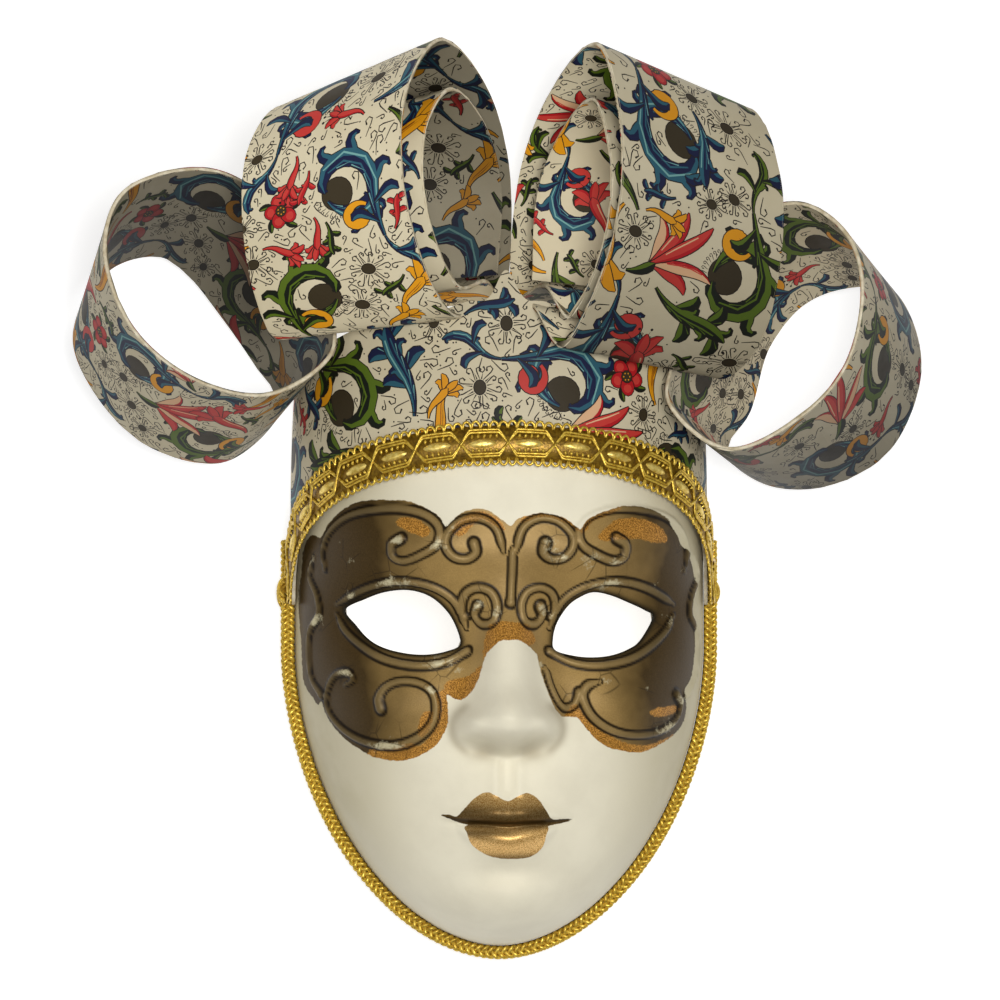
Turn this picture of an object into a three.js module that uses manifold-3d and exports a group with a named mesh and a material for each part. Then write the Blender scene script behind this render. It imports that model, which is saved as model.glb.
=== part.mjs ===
// Jester mask: a full-face carnival mask that lies on its back rim, face up.
// A hollow white face shell with two open eyes and squeezed scroll lines round them, a paper-covered
// cap over the forehead, four loops of paper-covered card strip, and two gold braids. Millimetres.
// +X is the viewer's right, +Y runs from the chin to the headdress, and +Z comes out of the face.

import * as THREE from 'three';
import { mergeVertices } from 'three/addons/utils/BufferGeometryUtils.js';
import Module from 'manifold-3d';

const wasm = await Module();
wasm.setup();

// Sizes of the face shell
const FACE_HALF_WIDTH = 72; // at the temples, on the back rim
const JAW_TOP_Y = -52; // below this line the outline narrows to the chin
const JAW_HEIGHT = 104.8;
const CROWN_HEIGHT = 200; // above the same line the outline closes this far up, beyond the cut
const JAW_ROUNDNESS = 1.85;
const SECTION_ROUNDNESS = 2.3; // how square the face is across
const WALL = 4.5; // measured along Z
const RIM_WALL = 4; // measured on the flat back rim
const TOP_EDGE_Y = 62.5; // middle of the arched top edge
const TOP_EDGE_RADIUS = 229;
const GRID_TOP_Y = 72; // the shell is made this far up, then cut on the arch
const SKIRT = 3; // the shell is made this far below the back rim, then cut flat

// Height of the middle of the face above the back rim, without nose and lips: [y, z]
const MIDLINE = [
  [-160, 58],
  [-140, 62],
  [-114, 65],
  [-80, 65],
  [-45, 66.5],
  [-15, 71],
  [20, 68],
  [60, 60],
  [110, 44],
];

// Lips and eyes
const MOUTH_Y = -114;
const MOUTH_HALF_WIDTH = 24;
const LOWER_LIP_HALF_WIDTH = 18;
const LEFT_EYE = [
  [-55.7, -38.4],
  [-49, -34.7],
  [-42, -32.2],
  [-34, -31.6],
  [-26.7, -33.8],
  [-20.8, -38.9],
  [-17.3, -45],
  [-16.2, -50.6],
  [-20.8, -52.9],
  [-27.3, -54.1],
  [-34.3, -53.8],
  [-42, -52],
  [-47.5, -49],
  [-52, -44],
];
const RIGHT_EYE = [
  [52, -41.2],
  [47.4, -49.3],
  [42.7, -52.5],
  [36.7, -54.5],
  [30.1, -55.1],
  [23.5, -54.5],
  [17, -52.5],
  [16.3, -48.5],
  [17.8, -42.8],
  [21.6, -37],
  [26.1, -33.8],
  [30.7, -32.3],
  [36.7, -33.4],
  [43.3, -36],
  [49, -38.6],
];

// Squeezed scroll lines, as points on the face. Those in MIRRORED are on both halves.
const LINE_HALF_WIDTH = 2;
const LINE_HEIGHT = 1.1;
const LINE_STEP = 5.5;
const MIRRORED_LINES = [
  // outer lobe over the eye, curling in
  [[-62.5, -25], [-63.4, -18], [-61, -11], [-55, -5.7], [-46, -3.4], [-36, -3.2], [-28, -5.6], [-24, -10],
    [-25, -15.5], [-30, -19], [-36, -21.3], [-40, -19.8], [-40.4, -15.6], [-37.2, -13.4]],
  // inner lobe beside the stem
  [[-1.6, -18], [-4.2, -10], [-9.5, -6.5], [-16, -7.2], [-21, -11.5], [-21.8, -16], [-19, -19.8],
    [-14.5, -20.6], [-11.4, -18.4], [-12, -15]],
  // upper rim of the eye
  [[-58.5, -36.5], [-50, -31.5], [-42, -28.9], [-34, -28.5], [-25.5, -30.6], [-19, -34.8], [-14.8, -41]],
  // curl at the inner corner of the eye
  [[-14, -45], [-15.8, -38.5], [-14.8, -33], [-10.6, -30.6], [-5.8, -32.2], [-3.7, -37], [-5, -42.4],
    [-8.6, -43.4], [-11.2, -40.4], [-10.4, -37]],
  // lower rim of the eye
  [[-58.5, -40], [-55.5, -46], [-49.4, -51.8], [-43, -55.6], [-35.6, -57.6], [-28, -58], [-20.9, -56.6],
    [-13.8, -53]],
  // line down the temple
  [[-66.4, -20], [-67.4, -27], [-65.2, -33.5], [-64.6, -40], [-67.3, -46], [-67.8, -55], [-66.6, -63],
    [-63.5, -68.5]],
];
const LEFT_LINES = [
  // double scroll under the left eye
  [[-55.8, -64.8], [-53.4, -63.2], [-54.5, -60.7], [-57.8, -60.6], [-60.6, -63.5], [-62, -69.4],
    [-60.6, -75.2], [-55.6, -81], [-48.2, -84.9], [-39.4, -86], [-31.9, -83.6], [-26.8, -79.1],
    [-24.9, -73.2], [-26.2, -67.4], [-30.6, -64.2], [-37, -63.5], [-42.1, -65.5], [-44.6, -69.4],
    [-44, -73.2]],
];
const RIGHT_LINES = [
  // scroll under the right eye
  [[32.6, -63.5], [28, -65.2], [26.6, -69.4], [29.9, -75.8], [36.5, -80.4], [44.5, -82.3], [53.3, -81.4],
    [60, -77.4], [62, -71.9], [60.4, -68.1]],
  // leaf beside the nose
  [[13, -58.5], [15.4, -66.1], [19.2, -72.4], [23.4, -71.6], [25.3, -67.4]],
];
const STEM_LINE = [[1.6, -17], [1.5, -25], [1, -36]];

// Braids
const BAND_END_Y = -36.4; // the wide braid rises from here at the temples to the middle of the forehead
const BAND_RISE = 56;
const BAND_SQUARENESS = 0.45; // below 1 the arch is flat over the forehead and drops steeply at the sides
const BAND_WIDTH = 15.6;
const BAND_THICKNESS = 2.2;
const BAND_STEPS = 36;
const BAND_END_ANGLE = 6; // degrees across the face from the rim
const RIM_BRAID_WIDTH = 3.2;
const RIM_BRAID_HEIGHT = 8;
const RIM_BRAID_TOP_Y = -38.5;
const RIM_BRAID_LOW_Z = 0.6;
const GAP = 0.35; // between pieces that lie on each other

// Cap
const CAP_THICKNESS = 1.2;
const CAP_TUCK = 4; // how far its lower edge runs under the wide braid
const CAP_COLUMNS = 26;
const CAP_ROWS = 3;
const CAP_END_ANGLE = 1.5; // degrees of the section left free at each side of the rim

// Loops: each row holds the near edge's x, y, z, then the far edge's, round the strip
const STRIP_THICKNESS = 1.4;
const LOOP_STEPS_PER_KNOT = 3;
const SECOND_TURN_SCALE = 0.72;
const SECOND_TURN_SHIFT = [2, -2, 2, -2, 0, 2];
const UPPER_LEFT_KNOTS = [
  [-5, 68, 38, -63, 62, 52],
  [-19, 65, 66, -80, 57, 54],
  [-30, 82, 85, -88, 71, 64],
  [-38, 113, 98, -93, 100, 73],
  [-37, 141, 97, -91, 122, 74],
  [-24, 161, 73, -80, 137, 62],
  [-5, 143, 37, -62, 131, 48],
  [3, 113, 20, -51, 106, 40],
  [1, 71, 22, -50, 67, 45],
];
const UPPER_RIGHT_KNOTS = [
  [6, 69, 38, 58, 62, 52],
  [10, 67, 62, 67, 55, 53],
  [18, 54, 71, 75, 43, 53],
  [29, 72, 86, 88, 54, 63],
  [37, 100, 97, 95, 83, 73],
  [38, 130, 99, 95, 112, 75],
  [31, 159, 82, 86, 136, 64],
  [15, 141, 42, 68, 130, 48],
  [6, 112, 22, 55, 105, 40],
  [4, 72, 22, 53, 67, 44],
];
const LOWER_LEFT_KNOTS = [
  [-62, 50, 55, -77, 34, 3],
  [-84, 37, 64, -97, 14, 14],
  [-111, 43, 71, -125, 20, 21],
  [-132, 61, 73, -144, 40, 24],
  [-141, 88, 70, -150, 58, 22],
  [-134, 108, 64, -138, 81, 15],
  [-107, 116, 56, -120, 86, 10],
  [-88, 109, 50, -110, 80, 6],
  [-66, 86, 43, -97, 64, 4],
  [-60, 64, 44, -85, 47, 2],
];
const LOWER_RIGHT_KNOTS = [
  [57, 34, 58, 80, 18, 4],
  [77, 18, 63, 94, 6, 11],
  [102, 29, 70, 117, 6, 19],
  [118, 47, 73, 137, 19, 26],
  [124, 74, 71, 147, 48, 27],
  [119, 93, 65, 137, 74, 14],
  [103, 104, 57, 122, 75, 11],
  [81, 97, 50, 107, 69, 7],
  [66, 74, 43, 95, 54, 4],
  [60, 52, 46, 88, 31, 3],
];

// Colours
const WHITE_FACE = { color: 0xe0d9c4, roughness: 0.55, metalness: 0 };
const PRINTED_PAPER = { color: 0xa89f86, roughness: 0.6, metalness: 0 };
const GOLD_BRAID = { color: 0xb8902a, roughness: 0.4, metalness: 0.6 };

const radians = THREE.MathUtils.degToRad;
const lerp = THREE.MathUtils.lerp;

// Helpers for smooth shapes

function ramp(from, to, value) {
  const t = THREE.MathUtils.clamp((value - from) / (to - from), 0, 1);
  return t * t * (3 - 2 * t);
}

function bump(x, y, centreX, centreY, widthX, widthY, height) {
  return height * Math.exp(-(((x - centreX) / widthX) ** 2) - ((y - centreY) / widthY) ** 2);
}

function bell(value, width) {
  return Math.exp(-((value / width) ** 2));
}

function midlineSlope(i) {
  const before = MIDLINE[Math.max(i - 1, 0)];
  const after = MIDLINE[Math.min(i + 1, MIDLINE.length - 1)];
  return (after[1] - before[1]) / (after[0] - before[0]);
}

function midlineHeight(y) {
  let i = 0;
  while (i < MIDLINE.length - 2 && y > MIDLINE[i + 1][0]) i += 1;
  const [y0, z0] = MIDLINE[i];
  const [y1, z1] = MIDLINE[i + 1];
  const span = y1 - y0;
  const t = THREE.MathUtils.clamp((y - y0) / span, 0, 1);
  const ease = t * t * (3 - 2 * t);
  const startPull = t * (1 - t) ** 2 * span * midlineSlope(i);
  const endPull = t * t * (t - 1) * span * midlineSlope(i + 1);
  return lerp(z0, z1, ease) + startPull + endPull;
}

// The face as a height over the back rim

function jawFraction(y) {
  return THREE.MathUtils.clamp((JAW_TOP_Y - y) / JAW_HEIGHT, 0, 1);
}

function halfWidth(y) {
  const crown = THREE.MathUtils.clamp((y - JAW_TOP_Y) / CROWN_HEIGHT, 0, 1);
  const jaw = (1 - jawFraction(y) ** JAW_ROUNDNESS) ** (1 / JAW_ROUNDNESS);
  return FACE_HALF_WIDTH * jaw * Math.sqrt(1 - crown ** 4);
}

function sectionFactor(side) {
  return Math.max(1 - Math.abs(side) ** SECTION_ROUNDNESS, 0) ** (1 / 2.2);
}

function chinFactor(y) {
  return Math.sqrt(1 - jawFraction(y) ** 7);
}

function noseHeight(x, y) {
  const ax = Math.abs(x);
  const down = THREE.MathUtils.clamp((-36 - y) / 40, 0, 1);
  const under = ramp(-91, -79.5, y);
  const ridge = (3 + 19 * down ** 1.15) * under * ramp(-24, -44, y) * bell(x, 8 + 4 * down ** 1.5);
  const tip = 5 * under * bell(x, 8.5) * bell(y + 75, 8.5);
  const wing = 9 * ramp(-89, -81, y) * bell(ax - 13, 5.2) * bell(y + 79.5, 6.5);
  return ridge + tip + wing;
}

function lipHeight(x, y) {
  const ax = Math.abs(x);
  const upper = Math.max(1 - (ax / MOUTH_HALF_WIDTH) ** 2, 0);
  const lower = Math.max(1 - (ax / LOWER_LIP_HALF_WIDTH) ** 2, 0);
  const fromLine = y - (MOUTH_Y + 0.0034 * ax * ax - 0.5 * bell(x, 4));
  const bow = 1 - 0.22 * bell(x, 3.2);
  const upperLip = 3.6 * upper * bow * bell(fromLine - 4.4 * upper, 1.2 + 3.2 * upper);
  const lowerLip = 5 * lower * bell(fromLine + 5.2 * Math.sqrt(lower), 1.5 + 3.2 * lower);
  const groove = 2.6 * upper ** 0.7 * bell(fromLine, 1.4);
  return upperLip + lowerLip - groove;
}

function featureHeight(x, y) {
  const ax = Math.abs(x);
  const brow = bump(ax, y, 30, -17, 20, 9, 3);
  const socket = bump(ax, y, 34, -43, 21, 13, -9.5) + bump(ax, y, 15, -47, 7, 9, -3);
  const lid = bump(ax, y, 34, -44, 15, 9, 4);
  const cheek = bump(ax, y, 43, -72, 18, 15, 4.5) + bump(ax, y, 33, -105, 14, 16, -2);
  const muzzle = bump(x, y, 0, -107, 25, 19, 4.5);
  const philtrum = ramp(-105, -101, y) * ramp(-88, -93, y) * (0.8 * bell(ax - 4.2, 2.2) - 0.9 * bell(x, 2.8));
  const chin = bump(x, y, 0, -130.5, 16, 5.5, -2.6) + bump(x, y, 0, -143, 16, 10, 7);
  const eyes = brow + socket + lid;
  const mouth = muzzle + philtrum + lipHeight(x, y) + chin;
  const sum = eyes + cheek + noseHeight(x, y) + mouth;
  return sum * ramp(1, 0.8, ax / Math.max(halfWidth(y), 1e-6));
}

function faceHeight(x, y) {
  const body = midlineHeight(y) * sectionFactor(x / Math.max(halfWidth(y), 1e-6)) * chinFactor(y);
  return body + featureHeight(x, y);
}

// Turning meshes into solids and back

function toSolid(geometry) {
  geometry.deleteAttribute('normal');
  geometry.deleteAttribute('uv');
  const merged = mergeVertices(geometry, 1e-4);
  const source = new wasm.Mesh({
    numProp: 3,
    vertProperties: merged.attributes.position.array,
    triVerts: merged.index.array,
  });
  return new wasm.Manifold(source);
}

function toGeometry(solid) {
  const mesh = solid.getMesh();
  const geometry = new THREE.BufferGeometry();
  geometry.setAttribute('position', new THREE.BufferAttribute(mesh.vertProperties, 3));
  geometry.setIndex(new THREE.BufferAttribute(mesh.triVerts, 1));
  geometry.computeVertexNormals();
  return geometry;
}

function gridGeometry(points, triangles) {
  const geometry = new THREE.BufferGeometry();
  geometry.setAttribute('position', new THREE.Float32BufferAttribute(points.flat(), 3));
  geometry.setIndex(triangles.flat());
  geometry.computeVertexNormals();
  return geometry;
}

// Face shell

// Rows from the chin up, close together at the chin, the lips and the nose: [first y, last y, rows]
function faceRows(bands) {
  const rows = [];
  for (const [from, to, count] of bands) {
    for (let i = 0; i < count; i += 1) rows.push(lerp(from, to, i / count));
  }
  rows.push(GRID_TOP_Y);
  return rows;
}

// Columns as fractions of the half width, closer together in the middle and at the steep sides
function faceColumns(count) {
  const columns = [];
  for (let i = 0; i <= count; i += 1) {
    const t = (2 * i) / count - 1;
    const eased = t * (0.6 + 0.4 * t * t);
    columns.push(Math.sin((Math.PI / 2) * eased));
  }
  return columns;
}

// A closed dome over the face's outline, drawn in by inset at the rim and lowered by drop
function faceDome(rows, columns, inset, drop) {
  const chinY = JAW_TOP_Y - JAW_HEIGHT + inset;
  const points = [[0, chinY, -SKIRT], [0, chinY, 0]];
  const triangles = [];
  const stride = columns.length + 2; // each row has a skirt point at both ends
  const last = columns.length - 1;
  for (const y of rows) {
    const shrunk = JAW_TOP_Y - ((JAW_TOP_Y - y) * JAW_HEIGHT) / (JAW_HEIGHT - inset);
    const outline = y < JAW_TOP_Y ? halfWidth(shrunk) : halfWidth(y);
    const width = (outline * (FACE_HALF_WIDTH - inset)) / FACE_HALF_WIDTH;
    points.push([-width, y, -SKIRT]);
    columns.forEach((side, i) => {
      const x = side * width;
      const outer = faceHeight(side * outline, y < JAW_TOP_Y ? shrunk : y);
      const z = i === 0 || i === last ? 0 : outer * (1 - drop / midlineHeight(y));
      points.push([x, y, z]);
    });
    points.push([width, y, -SKIRT]);
  }
  const at = (row, column) => 2 + row * stride + column;
  // chin: a fan to the pole, whose skirt corner is point 0
  for (let c = 1; c < stride - 2; c += 1) triangles.push([1, at(0, c + 1), at(0, c)]);
  triangles.push([0, 1, at(0, 0)], [1, at(0, 1), at(0, 0)]);
  triangles.push([1, 0, at(0, stride - 1)], [1, at(0, stride - 1), at(0, stride - 2)]);
  triangles.push([0, at(0, 0), at(0, stride - 1)]);
  // walls, front and flat back between the rows
  for (let r = 0; r < rows.length - 1; r += 1) {
    for (let c = 0; c < stride - 1; c += 1) {
      triangles.push([at(r, c), at(r, c + 1), at(r + 1, c + 1)], [at(r, c), at(r + 1, c + 1), at(r + 1, c)]);
    }
    const [a, b] = [at(r, 0), at(r, stride - 1)];
    const [d, e] = [at(r + 1, 0), at(r + 1, stride - 1)];
    triangles.push([a, d, e], [a, e, b]);
  }
  // top end
  const end = rows.length - 1;
  for (let c = 1; c < stride - 1; c += 1) triangles.push([at(end, 0), at(end, c), at(end, c + 1)]);
  return toSolid(gridGeometry(points, triangles));
}

function eyeCutter(outline) {
  const curve = new THREE.SplineCurve(outline.concat([outline[0]]).map(([x, y]) => new THREE.Vector2(x, y)));
  const shape = new THREE.Shape(curve.getPoints(outline.length * 2));
  const geometry = new THREE.ExtrudeGeometry(shape, { depth: 90, steps: 1, bevelEnabled: false });
  geometry.translate(0, 0, 10);
  return toSolid(geometry);
}

// Everything beyond the arched top edge, and everything below the back rim
function trimCutter() {
  const reach = 120;
  const centreY = TOP_EDGE_Y - TOP_EDGE_RADIUS;
  const swing = Math.asin(reach / TOP_EDGE_RADIUS);
  const shape = new THREE.Shape();
  shape.moveTo(-reach, reach);
  shape.lineTo(-reach, centreY + TOP_EDGE_RADIUS * Math.cos(swing));
  shape.absarc(0, centreY, TOP_EDGE_RADIUS, Math.PI / 2 + swing, Math.PI / 2 - swing, true);
  shape.lineTo(reach, reach);
  const settings = { depth: 140, steps: 1, curveSegments: 40, bevelEnabled: false };
  const top = new THREE.ExtrudeGeometry(shape, settings);
  top.translate(0, 0, -20);
  const below = new THREE.BoxGeometry(400, 500, 20);
  below.translate(0, 0, -10);
  return toSolid(top).add(toSolid(below));
}

function surfaceNormal(x, y) {
  const step = 0.05;
  const slopeX = (faceHeight(x + step, y) - faceHeight(x - step, y)) / (2 * step);
  const slopeY = (faceHeight(x, y + step) - faceHeight(x, y - step)) / (2 * step);
  return new THREE.Vector3(-slopeX, -slopeY, 1).normalize();
}

// A raised line of roof-shaped section, its foot buried in the face
function scrollLine(points) {
  const flat = new THREE.SplineCurve(points.map(([x, y]) => new THREE.Vector2(x, y)));
  const steps = Math.max(3, Math.round(flat.getLength() / LINE_STEP));
  const outer = [];
  const inner = [];
  for (let i = 0; i <= steps; i += 1) {
    const at = flat.getPoint(i / steps);
    const along = flat.getTangent(i / steps);
    const normal = surfaceNormal(at.x, at.y);
    const across = normal.clone().cross(new THREE.Vector3(along.x, along.y, 0)).normalize();
    const point = new THREE.Vector3(at.x, at.y, faceHeight(at.x, at.y));
    const place = (side, height) => {
      return point.clone().addScaledVector(across, side).addScaledVector(normal, height);
    };
    outer.push([place(-LINE_HALF_WIDTH, -0.8), place(0, LINE_HEIGHT), place(LINE_HALF_WIDTH, -0.8)]);
    inner.push([place(-LINE_HALF_WIDTH, -2), place(0, -2.2), place(LINE_HALF_WIDTH, -2)]);
  }
  return toSolid(sheetGeometry(outer, inner, false));
}

function mirrored(points) {
  return points.map(([x, y]) => [-x + 1, y]);
}

function faceShell() {
  const outerRows = faceRows([[-156.3, -152, 2], [-152, -130, 6], [-130, -99, 12], [-99, -70, 9],
    [-70, -24, 10], [-24, GRID_TOP_Y, 7]]);
  const innerRows = faceRows([[-152.3, -146, 2], [-146, -95, 6], [-95, -68, 5], [-68, GRID_TOP_Y, 7]]);
  let shell = faceDome(outerRows, faceColumns(30), 0, 0);
  for (const line of MIRRORED_LINES) {
    shell = shell.add(scrollLine(line));
    shell = shell.add(scrollLine(mirrored(line)));
  }
  for (const line of [...LEFT_LINES, ...RIGHT_LINES, STEM_LINE]) shell = shell.add(scrollLine(line));
  shell = shell.subtract(faceDome(innerRows, faceColumns(18), RIM_WALL, WALL));
  shell = shell.subtract(eyeCutter(LEFT_EYE));
  shell = shell.subtract(eyeCutter(RIGHT_EYE));
  return toGeometry(shell.subtract(trimCutter()));
}

// Pieces that lie on the face are laid out by an angle across it, 0 at the right rim, and by y

function facePoint(angle, y) {
  const side = Math.cos(angle);
  return new THREE.Vector3(side * halfWidth(y), y, midlineHeight(y) * sectionFactor(side) * chinFactor(y));
}

function faceNormal(angle, y) {
  const step = 1e-3;
  const across = facePoint(angle - step, y).sub(facePoint(angle + step, y));
  const up = facePoint(angle, y + step).sub(facePoint(angle, y - step));
  return across.cross(up).normalize();
}

function raised(angle, y, height) {
  return facePoint(angle, y).addScaledVector(faceNormal(angle, y), height);
}

function bandY(angle) {
  const end = Math.sin(radians(BAND_END_ANGLE));
  const across = THREE.MathUtils.clamp((Math.sin(angle) - end) / (1 - end), 0, 1);
  return BAND_END_Y + BAND_RISE * across ** BAND_SQUARENESS;
}

// Angles across the face from the right rim to the left, closer together at the sides, where the
// braid is steep
function anglesAcross(endAngle, count) {
  return Array.from({ length: count + 1 }, (_, i) => {
    const share = 1 - Math.abs(1 - (2 * i) / count);
    const angle = endAngle + (Math.PI / 2 - endAngle) * share ** 1.4;
    return i <= count / 2 ? angle : Math.PI - angle;
  });
}

// A closed sheet from two matching grids of points: rows of the outer face and of the inner face
function sheetGeometry(outer, inner, closed) {
  const rows = outer.length;
  const columns = outer[0].length;
  const points = [...outer.flat(), ...inner.flat()].map((p) => [p.x, p.y, p.z]);
  const top = (r, c) => (r % rows) * columns + c;
  const under = (r, c) => rows * columns + top(r, c);
  const triangles = [];
  const quad = (a, b, c, d) => triangles.push([a, b, c], [a, c, d]);
  for (let r = 0; r < (closed ? rows : rows - 1); r += 1) {
    for (let c = 0; c < columns - 1; c += 1) {
      quad(top(r, c), top(r + 1, c), top(r + 1, c + 1), top(r, c + 1));
      quad(under(r, c), under(r, c + 1), under(r + 1, c + 1), under(r + 1, c));
    }
    quad(top(r, 0), under(r, 0), under(r + 1, 0), top(r + 1, 0));
    quad(top(r, columns - 1), top(r + 1, columns - 1), under(r + 1, columns - 1), under(r, columns - 1));
  }
  if (!closed) {
    for (let c = 0; c < columns - 1; c += 1) {
      quad(top(0, c), top(0, c + 1), under(0, c + 1), under(0, c));
      quad(top(rows - 1, c), under(rows - 1, c), under(rows - 1, c + 1), top(rows - 1, c + 1));
    }
  }
  return gridGeometry(points, triangles);
}

function capGeometry() {
  const outer = [];
  const inner = [];
  for (const angle of anglesAcross(radians(CAP_END_ANGLE), CAP_COLUMNS)) {
    const low = bandY(angle) - CAP_TUCK * Math.sin(angle);
    const x = FACE_HALF_WIDTH * Math.cos(angle);
    const high = TOP_EDGE_Y - TOP_EDGE_RADIUS + Math.sqrt(TOP_EDGE_RADIUS ** 2 - x * x);
    const ys = Array.from({ length: CAP_ROWS + 1 }, (_, j) => lerp(low, high, j / CAP_ROWS));
    outer.push(ys.map((y) => raised(angle, y, GAP + CAP_THICKNESS)));
    inner.push(ys.map((y) => raised(angle, y, GAP)));
  }
  return sheetGeometry(outer.reverse(), inner.reverse(), false);
}

// The wide braid: a crowned band over the edge of the cap
function foreheadBraidGeometry() {
  const base = 2 * GAP + CAP_THICKNESS + 0.5;
  const path = anglesAcross(radians(BAND_END_ANGLE), BAND_STEPS).map((angle) => {
    return { point: raised(angle, bandY(angle), base), normal: faceNormal(angle, bandY(angle)) };
  });
  const outer = [];
  const inner = [];
  path.forEach(({ point, normal }, i) => {
    const before = path[Math.max(i - 1, 0)].point;
    const after = path[Math.min(i + 1, path.length - 1)].point;
    const along = after.clone().sub(before).normalize();
    const across = normal.clone().cross(along).normalize();
    const offsets = [-0.5, 0, 0.5].map((s) => s * BAND_WIDTH);
    const place = (s, h) => point.clone().addScaledVector(across, s).addScaledVector(normal, h);
    outer.push(offsets.map((s) => place(s, s === 0 ? BAND_THICKNESS : 0.6 * BAND_THICKNESS)));
    inner.push(offsets.map((s) => place(s, 0)));
  });
  return sheetGeometry(outer, inner, false);
}

// The narrow braid: an upright rounded band round the back rim, from temple to temple under the chin
function rimPoint(angle) {
  // angle runs from the right temple (0) under the chin to the left temple (pi)
  const y = JAW_TOP_Y - JAW_HEIGHT * Math.sin(angle);
  return new THREE.Vector2(Math.sign(Math.cos(angle)) * halfWidth(y), y);
}

function rimBraidGeometry() {
  const path = [rimAt(RIM_BRAID_TOP_Y, 1)];
  const steps = 42;
  for (let i = 0; i <= steps; i += 1) {
    const chin = new THREE.Vector2(0, JAW_TOP_Y - JAW_HEIGHT);
    path.push(i === steps / 2 ? chin : rimPoint((Math.PI * i) / steps));
  }
  path.push(rimAt(RIM_BRAID_TOP_Y, -1));
  path.reverse();
  const outer = [];
  const inner = [];
  path.forEach((point, i) => {
    const before = path[Math.max(i - 1, 0)];
    const after = path[Math.min(i + 1, path.length - 1)];
    const along = after.clone().sub(before).normalize();
    const out = new THREE.Vector2(along.y, -along.x);
    if (out.dot(point.clone().sub(new THREE.Vector2(0, JAW_TOP_Y))) < 0) out.negate();
    const place = (distance, z) => {
      const at = point.clone().addScaledVector(out, distance);
      return new THREE.Vector3(at.x, at.y, z);
    };
    const low = RIM_BRAID_LOW_Z;
    const high = low + RIM_BRAID_HEIGHT;
    const near = GAP + 0.15;
    const far = near + RIM_BRAID_WIDTH;
    outer.push([place(near + 0.8, low), place(far, (low + high) / 2), place(near + 0.8, high)]);
    inner.push([place(near, low + 0.3), place(near, (low + high) / 2), place(near, high - 0.3)]);
  });
  return sheetGeometry(outer, inner, false);
}

function rimAt(y, side) {
  return new THREE.Vector2(side * halfWidth(y), y);
}

// Loops of card strip

function edgeCurve(knots, first, closed) {
  const points = knots.map((k) => new THREE.Vector3(k[first], k[first + 1], k[first + 2]));
  return new THREE.CatmullRomCurve3(points, closed, 'centripetal');
}

// Knots of a second turn inside the first: each edge drawn in towards the loop's middle, then moved by shift
function secondTurn(knots, shift) {
  const middle = knots[0].map((_, i) => knots.reduce((sum, k) => sum + k[i] / knots.length, 0));
  return knots.map((k) => k.map((value, i) => lerp(middle[i], value, SECOND_TURN_SCALE) + shift[i]));
}

function curvePoint(curve, index, knotCount, closed) {
  const spans = closed ? knotCount : knotCount - 1;
  return curve.getPoint(THREE.MathUtils.clamp(index / (spans * LOOP_STEPS_PER_KNOT), 0, 1));
}

function stripGeometry(knots, closed) {
  const nearCurve = edgeCurve(knots, 0, closed);
  const farCurve = edgeCurve(knots, 3, closed);
  const spans = closed ? knots.length : knots.length - 1;
  const count = spans * LOOP_STEPS_PER_KNOT;
  const total = closed ? count : count + 1;
  const near = [];
  const far = [];
  for (let i = 0; i < total; i += 1) {
    near.push(curvePoint(nearCurve, i, knots.length, closed));
    far.push(curvePoint(farCurve, i, knots.length, closed));
  }
  const outer = [];
  const inner = [];
  for (let i = 0; i < total; i += 1) {
    const before = closed ? (i + total - 1) % total : Math.max(i - 1, 0);
    const after = closed ? (i + 1) % total : Math.min(i + 1, total - 1);
    const across = far[i].clone().sub(near[i]);
    const half = (edge) => {
      const along = edge[after].clone().sub(edge[before]);
      return along.cross(across).normalize().multiplyScalar(STRIP_THICKNESS / 2);
    };
    const nearHalf = half(near);
    const farHalf = half(far);
    outer.push([near[i].clone().add(nearHalf), far[i].clone().add(farHalf)]);
    inner.push([near[i].clone().sub(nearHalf), far[i].clone().sub(farHalf)]);
  }
  return sheetGeometry(outer, inner, closed);
}

// Assembly

function piece(name, geometry, finish) {
  const mesh = new THREE.Mesh(geometry, new THREE.MeshStandardMaterial(finish));
  mesh.name = name;
  return mesh;
}

const leftSecondTurn = secondTurn(UPPER_LEFT_KNOTS, SECOND_TURN_SHIFT);
const rightSecondTurn = secondTurn(UPPER_RIGHT_KNOTS, SECOND_TURN_SHIFT);

const mask = new THREE.Group();
mask.add(
  piece('face_shell', faceShell(), WHITE_FACE),
  piece('cap', capGeometry(), PRINTED_PAPER),
  piece('loop_upper_left', stripGeometry([...UPPER_LEFT_KNOTS, ...leftSecondTurn], false), PRINTED_PAPER),
  piece('loop_upper_right', stripGeometry([...UPPER_RIGHT_KNOTS, ...rightSecondTurn], false), PRINTED_PAPER),
  piece('loop_lower_left', stripGeometry(LOWER_LEFT_KNOTS, true), PRINTED_PAPER),
  piece('loop_lower_right', stripGeometry(LOWER_RIGHT_KNOTS, true), PRINTED_PAPER),
  piece('braid_forehead', foreheadBraidGeometry(), GOLD_BRAID),
  piece('braid_rim', rimBraidGeometry(), GOLD_BRAID),
);

// The origin is the middle of the underside
const box = new THREE.Box3().setFromObject(mask, true);
const middle = box.getCenter(new THREE.Vector3());
mask.position.set(-middle.x, -middle.y, -box.min.z);
mask.updateMatrixWorld(true);

export default mask;
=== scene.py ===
import math
import random
import bpy
import numpy as np
from mathutils import Matrix, Vector, geometry, kdtree


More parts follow.
